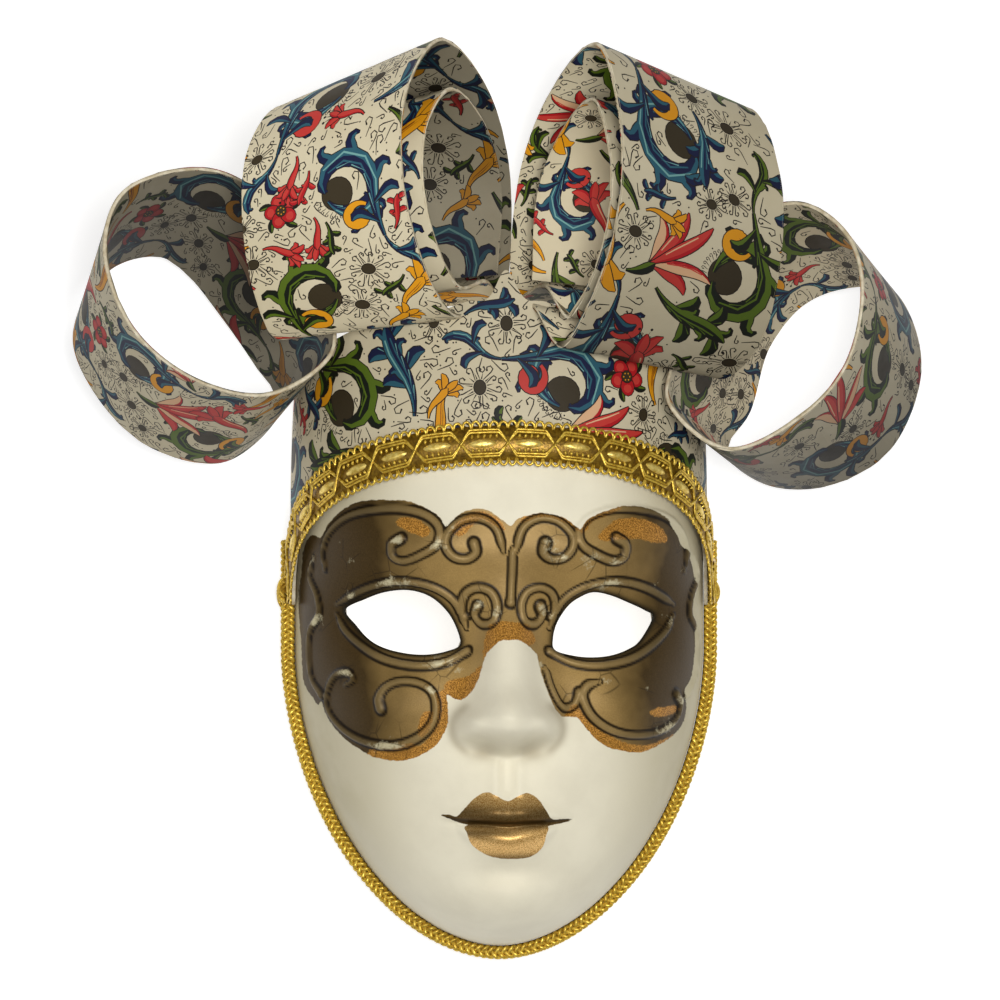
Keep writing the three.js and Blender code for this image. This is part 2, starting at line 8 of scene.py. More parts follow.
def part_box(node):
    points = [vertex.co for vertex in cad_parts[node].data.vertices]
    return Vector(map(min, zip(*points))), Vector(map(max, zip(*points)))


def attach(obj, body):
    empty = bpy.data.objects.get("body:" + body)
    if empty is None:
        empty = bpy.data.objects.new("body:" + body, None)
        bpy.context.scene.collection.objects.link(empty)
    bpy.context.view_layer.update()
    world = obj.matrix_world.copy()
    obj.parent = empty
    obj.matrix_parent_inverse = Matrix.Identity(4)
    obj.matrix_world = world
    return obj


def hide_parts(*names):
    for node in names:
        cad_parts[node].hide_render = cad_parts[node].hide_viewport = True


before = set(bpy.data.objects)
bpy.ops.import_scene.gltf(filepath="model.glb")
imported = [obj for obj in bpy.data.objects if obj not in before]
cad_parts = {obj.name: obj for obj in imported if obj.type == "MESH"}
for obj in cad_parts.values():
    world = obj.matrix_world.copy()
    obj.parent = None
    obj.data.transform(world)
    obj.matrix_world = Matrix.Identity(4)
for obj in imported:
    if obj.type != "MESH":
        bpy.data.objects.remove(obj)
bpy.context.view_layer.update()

# Everything below is worked out in millimetres in the face's own frame: x = 0 is the face's middle line,
# y = 0 is the height of the photograph's middle, z = 0 is the back rim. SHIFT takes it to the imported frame.
MM = 0.001
face_low, face_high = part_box("face_shell")
CHIN_Y = -156.8
SHIFT = np.array([(face_low.x + face_high.x) / 2 / MM, face_low.y / MM - CHIN_Y, 0.0])
CORD_END = 0.05  # how thick a cord is at its very end, against its middle


# Meshes

def new_object(name, data):
    item = bpy.data.objects.new(name, data)
    bpy.context.scene.collection.objects.link(item)
    return item


def new_mesh(name, verts, faces, node, material, normals=None):
    """A smooth piece on the root body from points in millimetres and equal-sided faces."""
    verts, faces = np.asarray(verts, float), np.asarray(faces, np.int32)
    mesh = bpy.data.meshes.new(name)
    sides = faces.shape[1]
    mesh.vertices.add(len(verts))
    mesh.vertices.foreach_set("co", ((verts + SHIFT) * MM).astype(np.float32).ravel())
    mesh.loops.add(faces.size)
    mesh.loops.foreach_set("vertex_index", faces.ravel())
    mesh.polygons.add(len(faces))
    mesh.polygons.foreach_set("loop_start", np.arange(0, faces.size, sides, dtype=np.int32))
    mesh.update(calc_edges=True)
    mesh.polygons.foreach_set("use_smooth", np.ones(len(faces), bool))
    if normals is not None:
        mesh.normals_split_custom_set_from_vertices(normals)
    mesh.materials.append(material)
    piece = new_object(name, mesh)
    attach(piece, "root")
    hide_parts(node)
    return piece


def point_value(piece, name, values):
    layer = piece.data.attributes.new(name, "FLOAT", "POINT")
    layer.data.foreach_set("value", np.asarray(values, np.float32))


def grid_faces(rows, columns):
    """Quads of a grid of points."""
    r = np.arange(rows - 1)[:, None]
    c = np.arange(columns - 1)[None, :]
    a, b = r * columns + c, (r + 1) * columns + c
    return np.stack([a, b, b + 1, a + 1], -1).reshape(-1, 4)


class Parts:
    """Grids gathered into one mesh."""

    def __init__(self):
        self.verts, self.faces, self.count = [], [], 0

    def grid(self, points, close_columns=False):
        points = np.asarray(points, float)
        if close_columns:
            points = np.concatenate([points, points[:, :1]], 1)
        rows, columns = points.shape[:2]
        self.faces.append(grid_faces(rows, columns) + self.count)
        self.verts.append(points.reshape(-1, 3))
        self.count += rows * columns

    def piece(self, name, node, slot, material):
        return new_mesh(name, np.concatenate(self.verts), np.concatenate(self.faces), node, material)


def unit(v):
    return v / np.maximum(np.linalg.norm(v, axis=-1, keepdims=True), 1e-9)


def run_along(points):
    """The distance along a path at each of its points."""
    return np.concatenate([[0], np.cumsum(np.linalg.norm(np.diff(points, axis=0), axis=1))])


def tree_of(points):
    """A search tree of points; flat ones lie at z = 0."""
    tree = kdtree.KDTree(len(points))
    for i, p in enumerate(points):
        tree.insert((*p, 0)[:3], i)
    tree.balance()
    return tree


def tube(parts, path, normal, width, height, sides=6):
    """A rounded cord of radii width and height along path, drawn in at its ends; normal points upwards."""
    path, normal = np.asarray(path, float), np.asarray(normal, float)
    along = unit(np.gradient(path, axis=0))
    across = unit(np.cross(along, normal))
    up = unit(np.cross(across, along))
    scale = np.ones(len(path))
    scale[[0, -1]] = CORD_END
    turn = np.arange(sides) * 2 * np.pi / sides
    ring = across[:, None] * (np.cos(turn) * width)[:, None] + up[:, None] * (np.sin(turn) * height)[:, None]
    parts.grid(path[:, None] + ring * scale[:, None, None], True)


# The face as a height over the back rim, as in the source of the solids

FACE_HALF_WIDTH, JAW_TOP_Y, JAW_HEIGHT, CROWN_HEIGHT = 72.0, -52.0, 104.8, 200.0
TOP_EDGE_Y, TOP_EDGE_RADIUS, TOP_HALF_WIDTH = 62.5, 229.0, 68
MIDLINE = np.array([(-160, 58), (-140, 62), (-114, 65), (-80, 65), (-45, 66.5), (-15, 71), (20, 68), (60, 60),
                    (110, 44)], float)


def ramp(start, end, value):
    t = np.clip((value - start) / (end - start), 0, 1)
    return t * t * (3 - 2 * t)


def bell(value, width):
    return np.exp(-(value / width) ** 2)


def bump(x, y, cx, cy, wx, wy, height):
    return height * np.exp(-((x - cx) / wx) ** 2 - ((y - cy) / wy) ** 2)


def midline(y):
    ys, zs = MIDLINE.T
    last = len(ys) - 1
    before, after = np.maximum(np.arange(last + 1) - 1, 0), np.minimum(np.arange(last + 1) + 1, last)
    slope = (zs[after] - zs[before]) / (ys[after] - ys[before])
    i = np.clip(np.searchsorted(ys, y, side="left") - 1, 0, last - 1)
    span = ys[i + 1] - ys[i]
    t = np.clip((y - ys[i]) / span, 0, 1)
    ease = t * t * (3 - 2 * t)
    pull = t * (1 - t) ** 2 * span * slope[i] + t * t * (t - 1) * span * slope[i + 1]
    return zs[i] * (1 - ease) + zs[i + 1] * ease + pull


def jaw_fraction(y):
    return np.clip((JAW_TOP_Y - y) / JAW_HEIGHT, 0, 1)


def half_width(y):
    crown = np.clip((y - JAW_TOP_Y) / CROWN_HEIGHT, 0, 1)
    return FACE_HALF_WIDTH * (1 - jaw_fraction(y) ** 1.85) ** (1 / 1.85) * np.sqrt(1 - crown ** 4)


def section(side):
    """The plain face's height across it, from 1 in the middle to 0 at its sides."""
    return np.maximum(1 - np.abs(side) ** 2.3, 0) ** (1 / 2.2)


def top_edge(x):
    """Where the face ends over the forehead, in an arc."""
    return TOP_EDGE_Y - TOP_EDGE_RADIUS + np.sqrt(TOP_EDGE_RADIUS ** 2 - x ** 2)


def body_height(side, y):
    return midline(y) * section(side) * np.sqrt(1 - jaw_fraction(y) ** 7)


def features(x, y):
    """What brows, eye sockets, cheeks, nose, lips and chin add to the plain face."""
    ax = np.abs(x)
    z = bump(ax, y, 30, -17, 20, 9, 3) - bump(ax, y, 34, -43, 21, 13, 9.5) - bump(ax, y, 15, -47, 7, 9, 3)
    z += bump(ax, y, 34, -44, 15, 9, 4) + bump(ax, y, 43, -72, 18, 15, 4.5) - bump(ax, y, 33, -105, 14, 16, 2)
    # the nose: how far down its ridge, its underside, ridge, tip, wings and nostrils
    down = np.clip((-36 - y) / 40, 0, 1)
    under = ramp(-91, -79.5, y - 0.02 * x ** 2)
    z += (3 + 19 * down ** 1.15) * under * ramp(-24, -44, y) * np.exp(-(ax / (8.6 + 4 * down ** 1.5)) ** 2.5)
    z += 5 * under * bell(x, 8.5) * bell(y + 75, 8.5)
    z += 9 * ramp(-89, -81, y) * bell(ax - 13, 4.8) * bell(y + 79.5, 6.2)
    z -= 1.5 * bell(ax - 7, 2.6) * bell(y + 86, 2.4)
    # the mouth's rise, the groove over it, the two lips and the line between, the chin
    z += bump(x, y, 0, -107, 25, 19, 4.5)
    z += ramp(-105, -101, y) * ramp(-88, -93, y) * (0.8 * bell(ax - 4.2, 2.2) - 0.9 * bell(x, 2.8))
    upper, lower = np.clip(1 - (ax / 24) ** 2, 0, 1), np.clip(1 - (ax / 18) ** 2, 0, 1)
    rise = y - (-114 + 0.0034 * ax ** 2 - 0.5 * bell(x, 4))
    z += 3.6 * upper * (1 - 0.22 * bell(x, 3.2)) * bell(rise - 4.4 * upper, 1.2 + 3.2 * upper)
    z += (5 * lower * bell(rise + 5.2 * np.sqrt(lower), 1.5 + 3.2 * lower)
          - 2.6 * upper ** 0.7 * bell(rise, 1.4))
    z += bump(x, y, 0, -143, 16, 10, 7) - bump(x, y, 0, -130.5, 16, 5.5, 2.6)
    return z * ramp(1, 0.8, ax / np.maximum(half_width(y), 1e-6))


def face_height(x, y):
    return body_height(x / np.maximum(half_width(y), 1e-6), y) + features(x, y)


def with_neighbours(p, closed):
    """Points with one more at each end, or two after them if closed, for a curve's outer spans."""
    if closed:
        return np.concatenate([p[-1:], p, p[:2]])
    return np.concatenate([2 * p[:1] - p[1:2], p, 2 * p[-1:] - p[-2:-1]])


def spline(points, step=0.3, closed=False):
    """Points every step along a smooth curve through points."""
    p = np.asarray(points, float)
    count = len(p)
    q = with_neighbours(p, closed)
    out = []
    for i in range(count if closed else count - 1):
        a, b, c, d = q[i:i + 4]
        t = np.linspace(0, 1, 24, endpoint=False)[:, None]
        out.append(0.5 * (2 * b + (c - a) * t + (2 * a - 5 * b + 4 * c - d) * t ** 2
                          + (3 * b - a - 3 * c + d) * t ** 3))
    out.append(p[:1] if closed else p[-1:])
    out = np.concatenate(out)
    run = run_along(out)
    want = np.linspace(0, run[-1], max(int(run[-1] / step), 2))
    return np.stack([np.interp(want, run, out[:, k]) for k in range(out.shape[1])], 1)


def signed_distance(points, outline):
    """Distance of points to a closed outline of closely set points, positive inside."""
    tree = tree_of(outline)
    d = np.array([tree.find((x, y, 0))[2] for x, y in points])
    return np.where(inside(outline, points), d, -d)


def inside(polygon, points):
    """Which points have a non-zero winding number in polygon."""
    x0, y0 = polygon[:, 0], polygon[:, 1]
    x1, y1 = np.roll(x0, -1), np.roll(y0, -1)
    turns = np.zeros(len(points), int)
    for i in range(0, len(points), 20000):
        px, py = points[i:i + 20000, 0][:, None], points[i:i + 20000, 1][:, None]
        side = (x1 - x0) * (py - y0) - (px - x0) * (y1 - y0)
        up = (y0 <= py) & (y1 > py) & (side > 0)
        down = (y0 > py) & (y1 <= py) & (side < 0)
        turns[i:i + 20000] = up.sum(1) - down.sum(1)
    return turns != 0


# Materials

CRACK_SCALE = 105  # cells to a metre


class Nodes:
    """Short calls for building a material's nodes."""

    def __init__(self, name):
        self.material = bpy.data.materials.new(name)
        self.material.use_nodes = True
        self.tree = self.material.node_tree
        self.shader = self.tree.nodes["Principled BSDF"]

    def add(self, kind, **values):
        node = self.tree.nodes.new(kind)
        for key, value in values.items():
            if key.startswith("in_"):
                self.put(node.inputs[int(key[3:])], value)
            else:
                setattr(node, key, value)
        return node

    def put(self, socket, value):
        """Links a socket or sets it; three numbers are a colour in 0-255 display values."""
        if isinstance(value, bpy.types.NodeSocket):
            self.tree.links.new(value, socket)
        else:
            socket.default_value = linear(*value) if isinstance(value, tuple) and len(value) == 3 else value

    def set(self, **values):
        for key, value in values.items():
            self.put(self.shader.inputs[key.replace("_", " ")], value)

    def value(self, name):
        return self.add("ShaderNodeAttribute", attribute_name=name).outputs["Fac"]

    def place(self):
        return self.add("ShaderNodeTexCoord").outputs["Object"]

    def noise(self, scale, detail=3.0, roughness=0.55):
        node = self.add("ShaderNodeTexNoise", in_0=self.place())
        node.inputs["Scale"].default_value = scale
        node.inputs["Detail"].default_value = detail
        node.inputs["Roughness"].default_value = roughness
        return node.outputs[0]

    def math(self, operation, a, b):
        return self.add("ShaderNodeMath", operation=operation, in_0=a, in_1=b).outputs[0]

    def times(self, a, b):
        return self.math("MULTIPLY", a, b)

    def plus(self, a, b):
        return self.math("ADD", a, b)

    def scale(self, value, low, high, to_low=0.0, to_high=1.0):
        node = self.add("ShaderNodeMapRange", in_0=value, in_1=low, in_2=high, in_3=to_low, in_4=to_high)
        return node.outputs[0]

    def mix(self, amount, a, b, mode="MIX"):
        node = self.add("ShaderNodeMix", data_type="RGBA", blend_type=mode, clamp_factor=True)
        self.put(node.inputs[0], amount)
        self.put(node.inputs[6], a)
        self.put(node.inputs[7], b)
        return node.outputs[2]

    def fade(self, value, low, high, below, above, most=1.0):
        """Colour below that turns to above, most of the way, as value goes from low to high."""
        return self.mix(self.scale(value, low, high, 0.0, most), below, above)

    def blend(self, amount, a, b):
        node = self.add("ShaderNodeMix", data_type="FLOAT", clamp_factor=True)
        self.put(node.inputs[0], amount)
        self.put(node.inputs[2], a)
        self.put(node.inputs[3], b)
        return node.outputs[0]

    def bump(self, height, distance, strength=1.0):
        node = self.add("ShaderNodeBump")
        node.inputs["Strength"].default_value = strength
        node.inputs["Distance"].default_value = distance
        self.put(node.inputs["Height"], height)
        self.put(self.shader.inputs["Normal"], node.outputs[0])


def linear(r, g, b):
    """A colour given in 0-255 display values."""
    return tuple((c / 255 / 12.92 if c <= 10 else ((c / 255 + 0.055) / 1.055) ** 2.4)
                 for c in (r, g, b)) + (1.0,)


def face_paint():
    """White ground, bronze with gold patches, gold lips, all worn, with painted shade at the sides, under the
    nose, in the eye openings and on the lower lip.
    """
    m = Nodes("face_paint")
    side, ridge, rubbed = m.value("side"), m.value("ridge"), m.value("worn")
    fine, broad, grain = m.noise(900, 3), m.noise(60, 4), m.noise(2600, 2)
    # painted shade: the white goes darker towards the face's sides
    white = m.mix(side, (236, 229, 205), (188, 178, 146))
    white = m.fade(broad, 0.35, 0.65, white, (214, 206, 182), 0.35)
    # painted shade under the nose and round its wings
    white = m.mix(m.value("soil"), white, (150, 136, 106))
    # the edges of the painted areas, made uneven by noise
    wobble = m.times(m.math("SUBTRACT", m.noise(700, 3), 0.5), 0.9)
    bronze_on = m.scale(m.plus(m.value("bronze"), wobble), -0.15, 0.15)
    gold_on = m.scale(m.plus(m.value("gold"), m.times(wobble, 1.6)), -0.3, 0.3)
    lips_on = m.scale(m.plus(m.value("lips"), m.times(wobble, 0.4)), -0.1, 0.1)
    # bronze, darker to the sides as painted shade, then gold, pale ridges and dark creases
    patches = m.plus(m.times(m.noise(45, 3), 0.7), m.times(side, 0.75))
    bronze = m.fade(patches, 0.22, 0.9, (178, 146, 88), (60, 45, 18))
    bronze = m.fade(grain, 0.35, 0.65, bronze, (96, 74, 40), 0.3)
    bronze = m.mix(gold_on, bronze, m.fade(grain, 0.38, 0.6, (206, 148, 66), (116, 78, 26)))
    bronze = m.fade(ridge, 0.1, 0.9, bronze, (124, 108, 74), 0.4)
    bronze = m.fade(m.value("crease"), 0.15, 0.8, bronze, (26, 18, 8), 0.95)
    # rubbed places and their cracks
    worn = m.plus(m.plus(m.times(rubbed, 0.3), m.noise(260, 5, 0.75)), m.times(ridge, 0.16))
    worn = m.times(m.scale(worn, 0.8, 0.98), m.scale(rubbed, 0.15, 0.6, 0.0, 0.88))
    bronze = m.mix(worn, bronze, (204, 194, 158))
    crack = m.add("ShaderNodeTexVoronoi", feature="DISTANCE_TO_EDGE", in_0=m.place())
    crack.inputs["Scale"].default_value = CRACK_SCALE
    crack = m.times(m.scale(crack.outputs[0], 0.0, 0.03, 0.6, 0.0), m.scale(rubbed, 0.05, 0.35))
    bronze = m.mix(crack, bronze, (34, 25, 12))
    # the eye openings' walls and a thin ring round them go near black: partly a dark line painted round the
    # eyes, partly painted shade inside the openings
    bronze = m.mix(m.value("rim"), bronze, (22, 19, 10))
    colour = m.mix(bronze_on, white, bronze)
    lip = m.fade(grain, 0.4, 0.6, (244, 204, 134), (186, 138, 70))
    # mouth darkens the lips: the line between them and the upper lip's darker paint, plus painted shade on
    # the lower lip
    colour = m.mix(lips_on, colour, m.mix(m.value("mouth"), lip, (46, 32, 8)))
    painted = m.math("MAXIMUM", bronze_on, lips_on)
    m.set(Base_Color=colour, Metallic=m.blend(lips_on, m.blend(painted, 0.0, 0.12), 0.45),
          Roughness=m.blend(painted, 0.5, 0.42), Specular_IOR_Level=0.12)
    m.bump(m.plus(m.times(fine, 0.4), broad), 0.0003, 0.35)
    return m.material


def plain_ceramic():
    m = Nodes("face_back")
    m.set(Base_Color=m.fade(m.noise(90, 5), 0.3, 0.7, (214, 204, 182), (196, 184, 158)), Roughness=0.75)
    m.bump(m.noise(400, 5), 0.0006, 0.6)
    return m.material


def printed_paper():
    """The ink of each triangle, a little uneven."""
    m = Nodes("printed_paper")
    ink = m.add("ShaderNodeAttribute", attribute_name="ink").outputs["Color"]
    shade = m.fade(m.noise(40, 4), 0.3, 0.7, (1, 1, 1, 1), (0.9, 0.88, 0.84, 1))
    m.set(Base_Color=m.mix(1.0, ink, shade, "MULTIPLY"),
          Roughness=m.scale(m.noise(200, 3), 0.3, 0.7, 0.52, 0.62),
          Specular_IOR_Level=0.25)
    m.bump(m.noise(1200, 3), 0.0001, 0.3)
    return m.material


def card_edge():
    m = Nodes("card_edge")
    m.set(Base_Color=m.fade(m.noise(300, 4), 0.35, 0.65, (226, 216, 190), (188, 172, 138)), Roughness=0.7)
    return m.material


def gold_thread(name, light, dark, scale):
    m = Nodes(name)
    m.set(Base_Color=m.fade(m.noise(scale, 3), 0.35, 0.65, light, dark), Metallic=0.55, Roughness=0.36)
    m.bump(m.noise(scale * 1.5, 2), 0.0002, 0.5)
    return m.material


FACE_PAINT, FACE_BACK = face_paint(), plain_ceramic()
PAPER, CARD = printed_paper(), card_edge()
GOLD = gold_thread("gold_thread", (238, 204, 84), (184, 146, 40), 900)
SATIN = gold_thread("gold_satin", (248, 222, 128), (206, 172, 70), 600)
# darker gold for the braids' grounds: painted shade between the cords
SHADE = gold_thread("gold_ground", (150, 116, 30), (104, 76, 14), 900)

# Squeezed scroll lines, the eye openings and where paint of each kind ends, as points on the face

MIRRORED_LINES = [
    [(-62.5, -25), (-63.4, -18), (-61, -11), (-55, -5.7), (-46, -3.4), (-36, -3.2), (-28, -5.6), (-24, -10),
     (-25, -15.5), (-30, -19), (-36, -21.3), (-40, -19.8), (-40.4, -15.6), (-37.2, -13.4)],
    [(-1.6, -18), (-4.2, -10), (-9.5, -6.5), (-16, -7.2), (-21, -11.5), (-21.8, -16), (-19, -19.8),
     (-14.5, -20.6), (-11.4, -18.4), (-12, -15)],
    [(-58.5, -36.5), (-50, -31.5), (-42, -28.9), (-34, -28.5), (-25.5, -30.6), (-19, -34.8), (-14.8, -41)],
    [(-14, -45), (-15.8, -38.5), (-14.8, -33), (-10.6, -30.6), (-5.8, -32.2), (-3.7, -37), (-5, -42.4),
     (-8.6, -43.4), (-11.2, -40.4), (-10.4, -37)],
    [(-58.5, -40), (-55.5, -46), (-49.4, -51.8), (-43, -55.6), (-35.6, -57.6), (-28, -58), (-20.9, -56.6),
     (-13.8, -53)],
    [(-66.4, -20), (-67.4, -27), (-65.2, -33.5), (-64.6, -40), (-67.3, -46), (-67.8, -55), (-66.6, -63),
     (-63.5, -68.5)],
]
OTHER_LINES = [
    [(-55.8, -64.8), (-53.4, -63.2), (-54.5, -60.7), (-57.8, -60.6), (-60.6, -63.5), (-62, -69.4),
     (-60.6, -75.2), (-55.6, -81), (-48.2, -84.9), (-39.4, -86), (-31.9, -83.6), (-26.8, -79.1),
     (-24.9, -73.2), (-26.2, -67.4), (-30.6, -64.2), (-37, -63.5), (-42.1, -65.5), (-44.6, -69.4),
     (-44, -73.2)],
    [(32.6, -63.5), (28, -65.2), (26.6, -69.4), (29.9, -75.8), (36.5, -80.4), (44.5, -82.3), (53.3, -81.4),
     (60, -77.4), (62, -71.9), (60.4, -68.1)],
    [(13, -58.5), (15.4, -66.1), (19.2, -72.4), (23.4, -71.6), (25.3, -67.4)],
    [(1.6, -17), (1.5, -25), (1, -36)],
]
LEFT_EYE = [(-55.7, -38.4), (-49, -34.7), (-42, -32.2), (-34, -31.6), (-26.7, -33.8), (-20.8, -38.9),
            (-17.3, -45), (-16.2, -50.6), (-20.8, -52.9), (-27.3, -54.1), (-34.3, -53.8), (-42, -52),
            (-47.5, -49), (-52, -44)]
RIGHT_EYE = [(52, -41.2), (47.4, -49.3), (42.7, -52.5), (36.7, -54.5), (30.1, -55.1), (23.5, -54.5),
             (17, -52.5), (16.3, -48.5), (17.8, -42.8), (21.6, -37), (26.1, -33.8), (30.7, -32.3),
             (36.7, -33.4), (43.3, -36), (49, -38.6)]
MASK_OUTLINE = [  # of the bronze paint
    (-68.6, -14.3), (-66.7, -12.2), (-64.5, -13.3), (-63.2, -11.5), (-61.6, -8.4), (-59.3, -5.6), (-56, -2.8),
    (-51.7, -0.7), (-47, 0), (-40.9, 0), (-35.7, -0.3), (-30.6, -1.8), (-26.1, -4.2), (-23.4, -6.6),
    (-21.7, -9.4), (-19.6, -7.3), (-16.1, -4.5), (-11.5, -3.1), (-7.4, -3.5), (-3.9, -5.6), (-1.1, -7.7),
    (1, -9.1), (3.5, -6.6), (7.7, -5.2), (11.5, -4.5), (16.5, -5.2), (20.3, -6.6), (23.5, -9.1),
    (25.2, -10.5), (27.4, -7.3), (31, -5.2), (34.9, -3.8), (38.9, -2.4), (42.5, -2.1), (46.8, -2.4),
    (51.2, -3.8), (55.2, -5.9), (57.8, -8.4), (60.4, -11.9), (62.3, -15.7), (64.6, -18.5), (66.2, -22),
    (67.4, -26.9), (67.5, -32.2), (66.7, -37.4), (67.1, -42.7), (67.9, -49), (67.5, -56), (66.4, -62.3),
    (63.7, -67.2), (64.6, -71.8), (64.3, -75.6), (63.2, -78.8), (60.1, -82.2), (55.2, -85.4), (50.8, -87.5),
    (46.4, -88.5), (40.6, -87.8), (35.2, -86.4), (30.9, -83.3), (27.7, -79.8), (24.8, -76.3), (21.9, -75.9),
    (19, -75.6), (16.5, -72.8), (14.8, -68.9), (13.4, -65.5), (12, -61.2), (11, -57.7), (10.3, -54.2),
    (8.5, -52.1), (5.6, -50), (3.4, -49), (0.5, -49), (-2.9, -49.3), (-5.3, -51.4), (-7.7, -54.2),
    (-9.1, -58.4), (-10.5, -63), (-12.6, -66.8), (-15.6, -69.6), (-18.3, -69.6), (-21.1, -68.2),
    (-20.8, -71.8), (-20.8, -77.7), (-22.5, -82.2), (-24.8, -85.8), (-28.6, -88.5), (-32.7, -90.3),
    (-37.1, -91.3), (-41.6, -91), (-46.3, -89.9), (-50.7, -87.5), (-54.7, -84.7), (-58, -81.5), (-60.7, -78),
    (-62.6, -74.2), (-63.7, -70.7), (-64.9, -71.8), (-66.8, -68.9), (-68.7, -65.8), (-69.6, -62.3),
    (-70, -56), (-70.3, -49), (-70.9, -40.2), (-70.9, -31.5), (-70.3, -26.2), (-69.8, -19.2)]
GOLD_PATCHES = [  # where the gold isn't dulled to bronze
    [(-38.9, -7.7), (-35.8, -5.9), (-31.3, -7), (-27.9, -9.4), (-27.3, -11.5), (-29.3, -12.9), (-33.4, -11.5),
     (-36.8, -9.8)],
    [(-19.6, -10.5), (-16.1, -6.6), (-11.6, -4.2), (-7, -4.5), (-2.8, -7), (-1.1, -10.5), (-4.2, -9.4),
     (-9.1, -7), (-11.9, -8.4), (-14.7, -11.5), (-17.5, -12.6)],
    [(-7.9, -47.9), (-6.2, -44.4), (-2.8, -42.3), (1.4, -42.7), (5.7, -43.4), (8.6, -46.2), (9.7, -50),
     (5.6, -50.8), (0.5, -49.7), (-3.6, -50), (-6.3, -52.5), (-8.7, -55.3)],
    [(-21.7, -64.4), (-18.3, -62.6), (-13.1, -61.2), (-10.1, -58.4), (-8.4, -58.8), (-9.9, -64.4),
     (-12.6, -67.9), (-15.7, -70.7), (-18.7, -70.7), (-21.8, -68.6)],
    [(-48.3, -91), (-46.7, -87.1), (-40.6, -87.5), (-35.5, -87.1), (-30.4, -85.8), (-26.6, -82.2),
     (-24.5, -77.7), (-24.2, -72.8), (-24.5, -67.5), (-20, -66.5), (-19.4, -72.1), (-19.8, -79.1),
     (-22.1, -84.7), (-26.2, -88.9), (-33, -92), (-40.5, -92.8)],
    [(-31.1, -81.5), (-30.1, -75.9), (-27.7, -73.8), (-25.9, -74.5), (-26.6, -79.1), (-29, -82.6)],
    [(-39.6, -86.8), (-36.5, -85.4), (-33.1, -84.7), (-31.7, -86.1), (-35.5, -87.5)],
    [(31.6, -12.9), (34.5, -9.8), (38.1, -7), (43.9, -6.3), (49, -7), (54.1, -9.4), (57.1, -14), (52.2, -15),
     (46.8, -13.6), (39.5, -14), (34.1, -14.3)],
    [(23.5, -9.4), (27.4, -6.3), (32.4, -3.5), (38.9, -1.4), (38.9, -3.5), (33.8, -5.9), (29.5, -7.7),
     (26.3, -11.9)],
    [(4.2, -7.7), (7.7, -4.5), (13, -3.5), (18.2, -4.5), (23.1, -8), (24.9, -11.2), (20.3, -8.4),
     (14.7, -6.3), (9.4, -6.3), (6.3, -7.7)],
    [(20.5, -74.2), (23.7, -71.4), (27.6, -75.6), (31.2, -79.4), (36.9, -82.9), (43.4, -85.4), (50, -85.8),
     (56, -84), (60.5, -82.2), (57.5, -86.4), (50.9, -89.6), (43.5, -89.9), (34.9, -87.5), (29.1, -83.3),
     (24.4, -77.7), (20.5, -77.3)],
    [(50.6, -74.5), (52.8, -73.1), (57.3, -72.4), (60.3, -72.1), (61.1, -73.8), (57.3, -75.6), (52.8, -75.9)],
]
UPPER_LIP = [(-23.4, -110.1), (-20.3, -110.1), (-17.7, -110.6), (-14.6, -107.4), (-11.1, -103.9),
             (-7.3, -102.2), (-3.8, -103.6), (0, -105.3), (3.5, -103.6), (7.1, -102.5), (10.6, -104.6),
             (13.4, -108.5), (15.6, -111.6), (19.2, -111.6), (23.2, -111.8), (19.3, -113), (15.7, -113.7),
             (12.4, -114.3), (6.8, -114.1), (0.8, -114.8), (-6.2, -114.4), (-13.1, -113.7), (-17.2, -112.7),
             (-20.7, -111.3)]
LOWER_LIP = [(-14.5, -114.1), (-14.2, -116.5), (-12.3, -120.7), (-7.7, -123.9), (-3.2, -125.3), (1.8, -125.6),
             (8.1, -124.9), (12.2, -121.8), (13.5, -117.6), (13.9, -114.1), (6.8, -114.4), (0.8, -115.1),
             (-6.2, -114.8)]
WORN_SPOTS = [  # x, y and radius of the places rubbed pale
    (-54.4, -21, 3.1), (-24.9, -15.7, 3.1), (-38.3, -14.3, 2.4), (-18.6, -10.5, 2.1), (-10.3, -35, 4.9),
    (-3.8, -39.2, 2.4), (-23.4, -56, 5.6), (-16.5, -59.5, 2.8), (-41.3, -85.8, 6.3), (-55.6, -60.9, 3.1),
    (-26.3, -66.5, 2.4), (20.2, -68.2, 2.8), (35.4, -63.7, 3.5), (28.1, -21.7, 4.9), (49.8, -65.5, 2.4),
    (57.4, -79.8, 5.6), (-39, -29.4, 7.7), (-54.2, -32.9, 2.8), (16.4, -15.7, 4.9), (18.2, -19.6, 3.5),
    (37.8, -21.7, 3.5), (61.6, -15.7, 2.8), (62.4, -25.2, 2.1), (56.2, -42, 4.2), (63, -70, 3.1),
    (13.3, -38.5, 3.5), (52.4, -29.7, 2.1), (-64.1, -42, 3.5), (-66.7, -21, 2.8), (-58.4, -15.7, 2.1),
    (11.4, -57.7, 2.4), (34.8, -29.7, 5.6)]
WALL, RIM_WALL = 4.5, 4.0
EYE_Y, EYE_REACH = -43, (26, 17)  # roughly where both eyes lie
RELIEF_HEIGHT, RELIEF_RADIUS, RELIEF_REACH = 1.25, 1.45, 2.2
CREASE_AT, CREASE_WIDTH = 1.15, 0.4  # the dark line beside the relief, against its radius
CHIN_ROWS, FACE_COLUMNS = 40, 232
ARCH_FROM_Y = 22  # above it rows of points bend into the arc
FACE_BANDS = [(-126, -100, 40), (-100, -92, 8), (-92, -2, 142), (-2, ARCH_FROM_Y, 20),
              (ARCH_FROM_Y, TOP_EDGE_Y, 12)]
INSIDE_CHIN_ROWS, INSIDE_COLUMNS, INSIDE_BANDS = 16, 90, [(-130, -20, 60), (-20, TOP_EDGE_Y, 22)]


def steps(*bands):
    """Values in bands of (first, last, count), the last one's end included."""
    return np.concatenate([np.linspace(a, b, n, endpoint=False) for a, b, n in bands] + [[bands[-1][1]]])


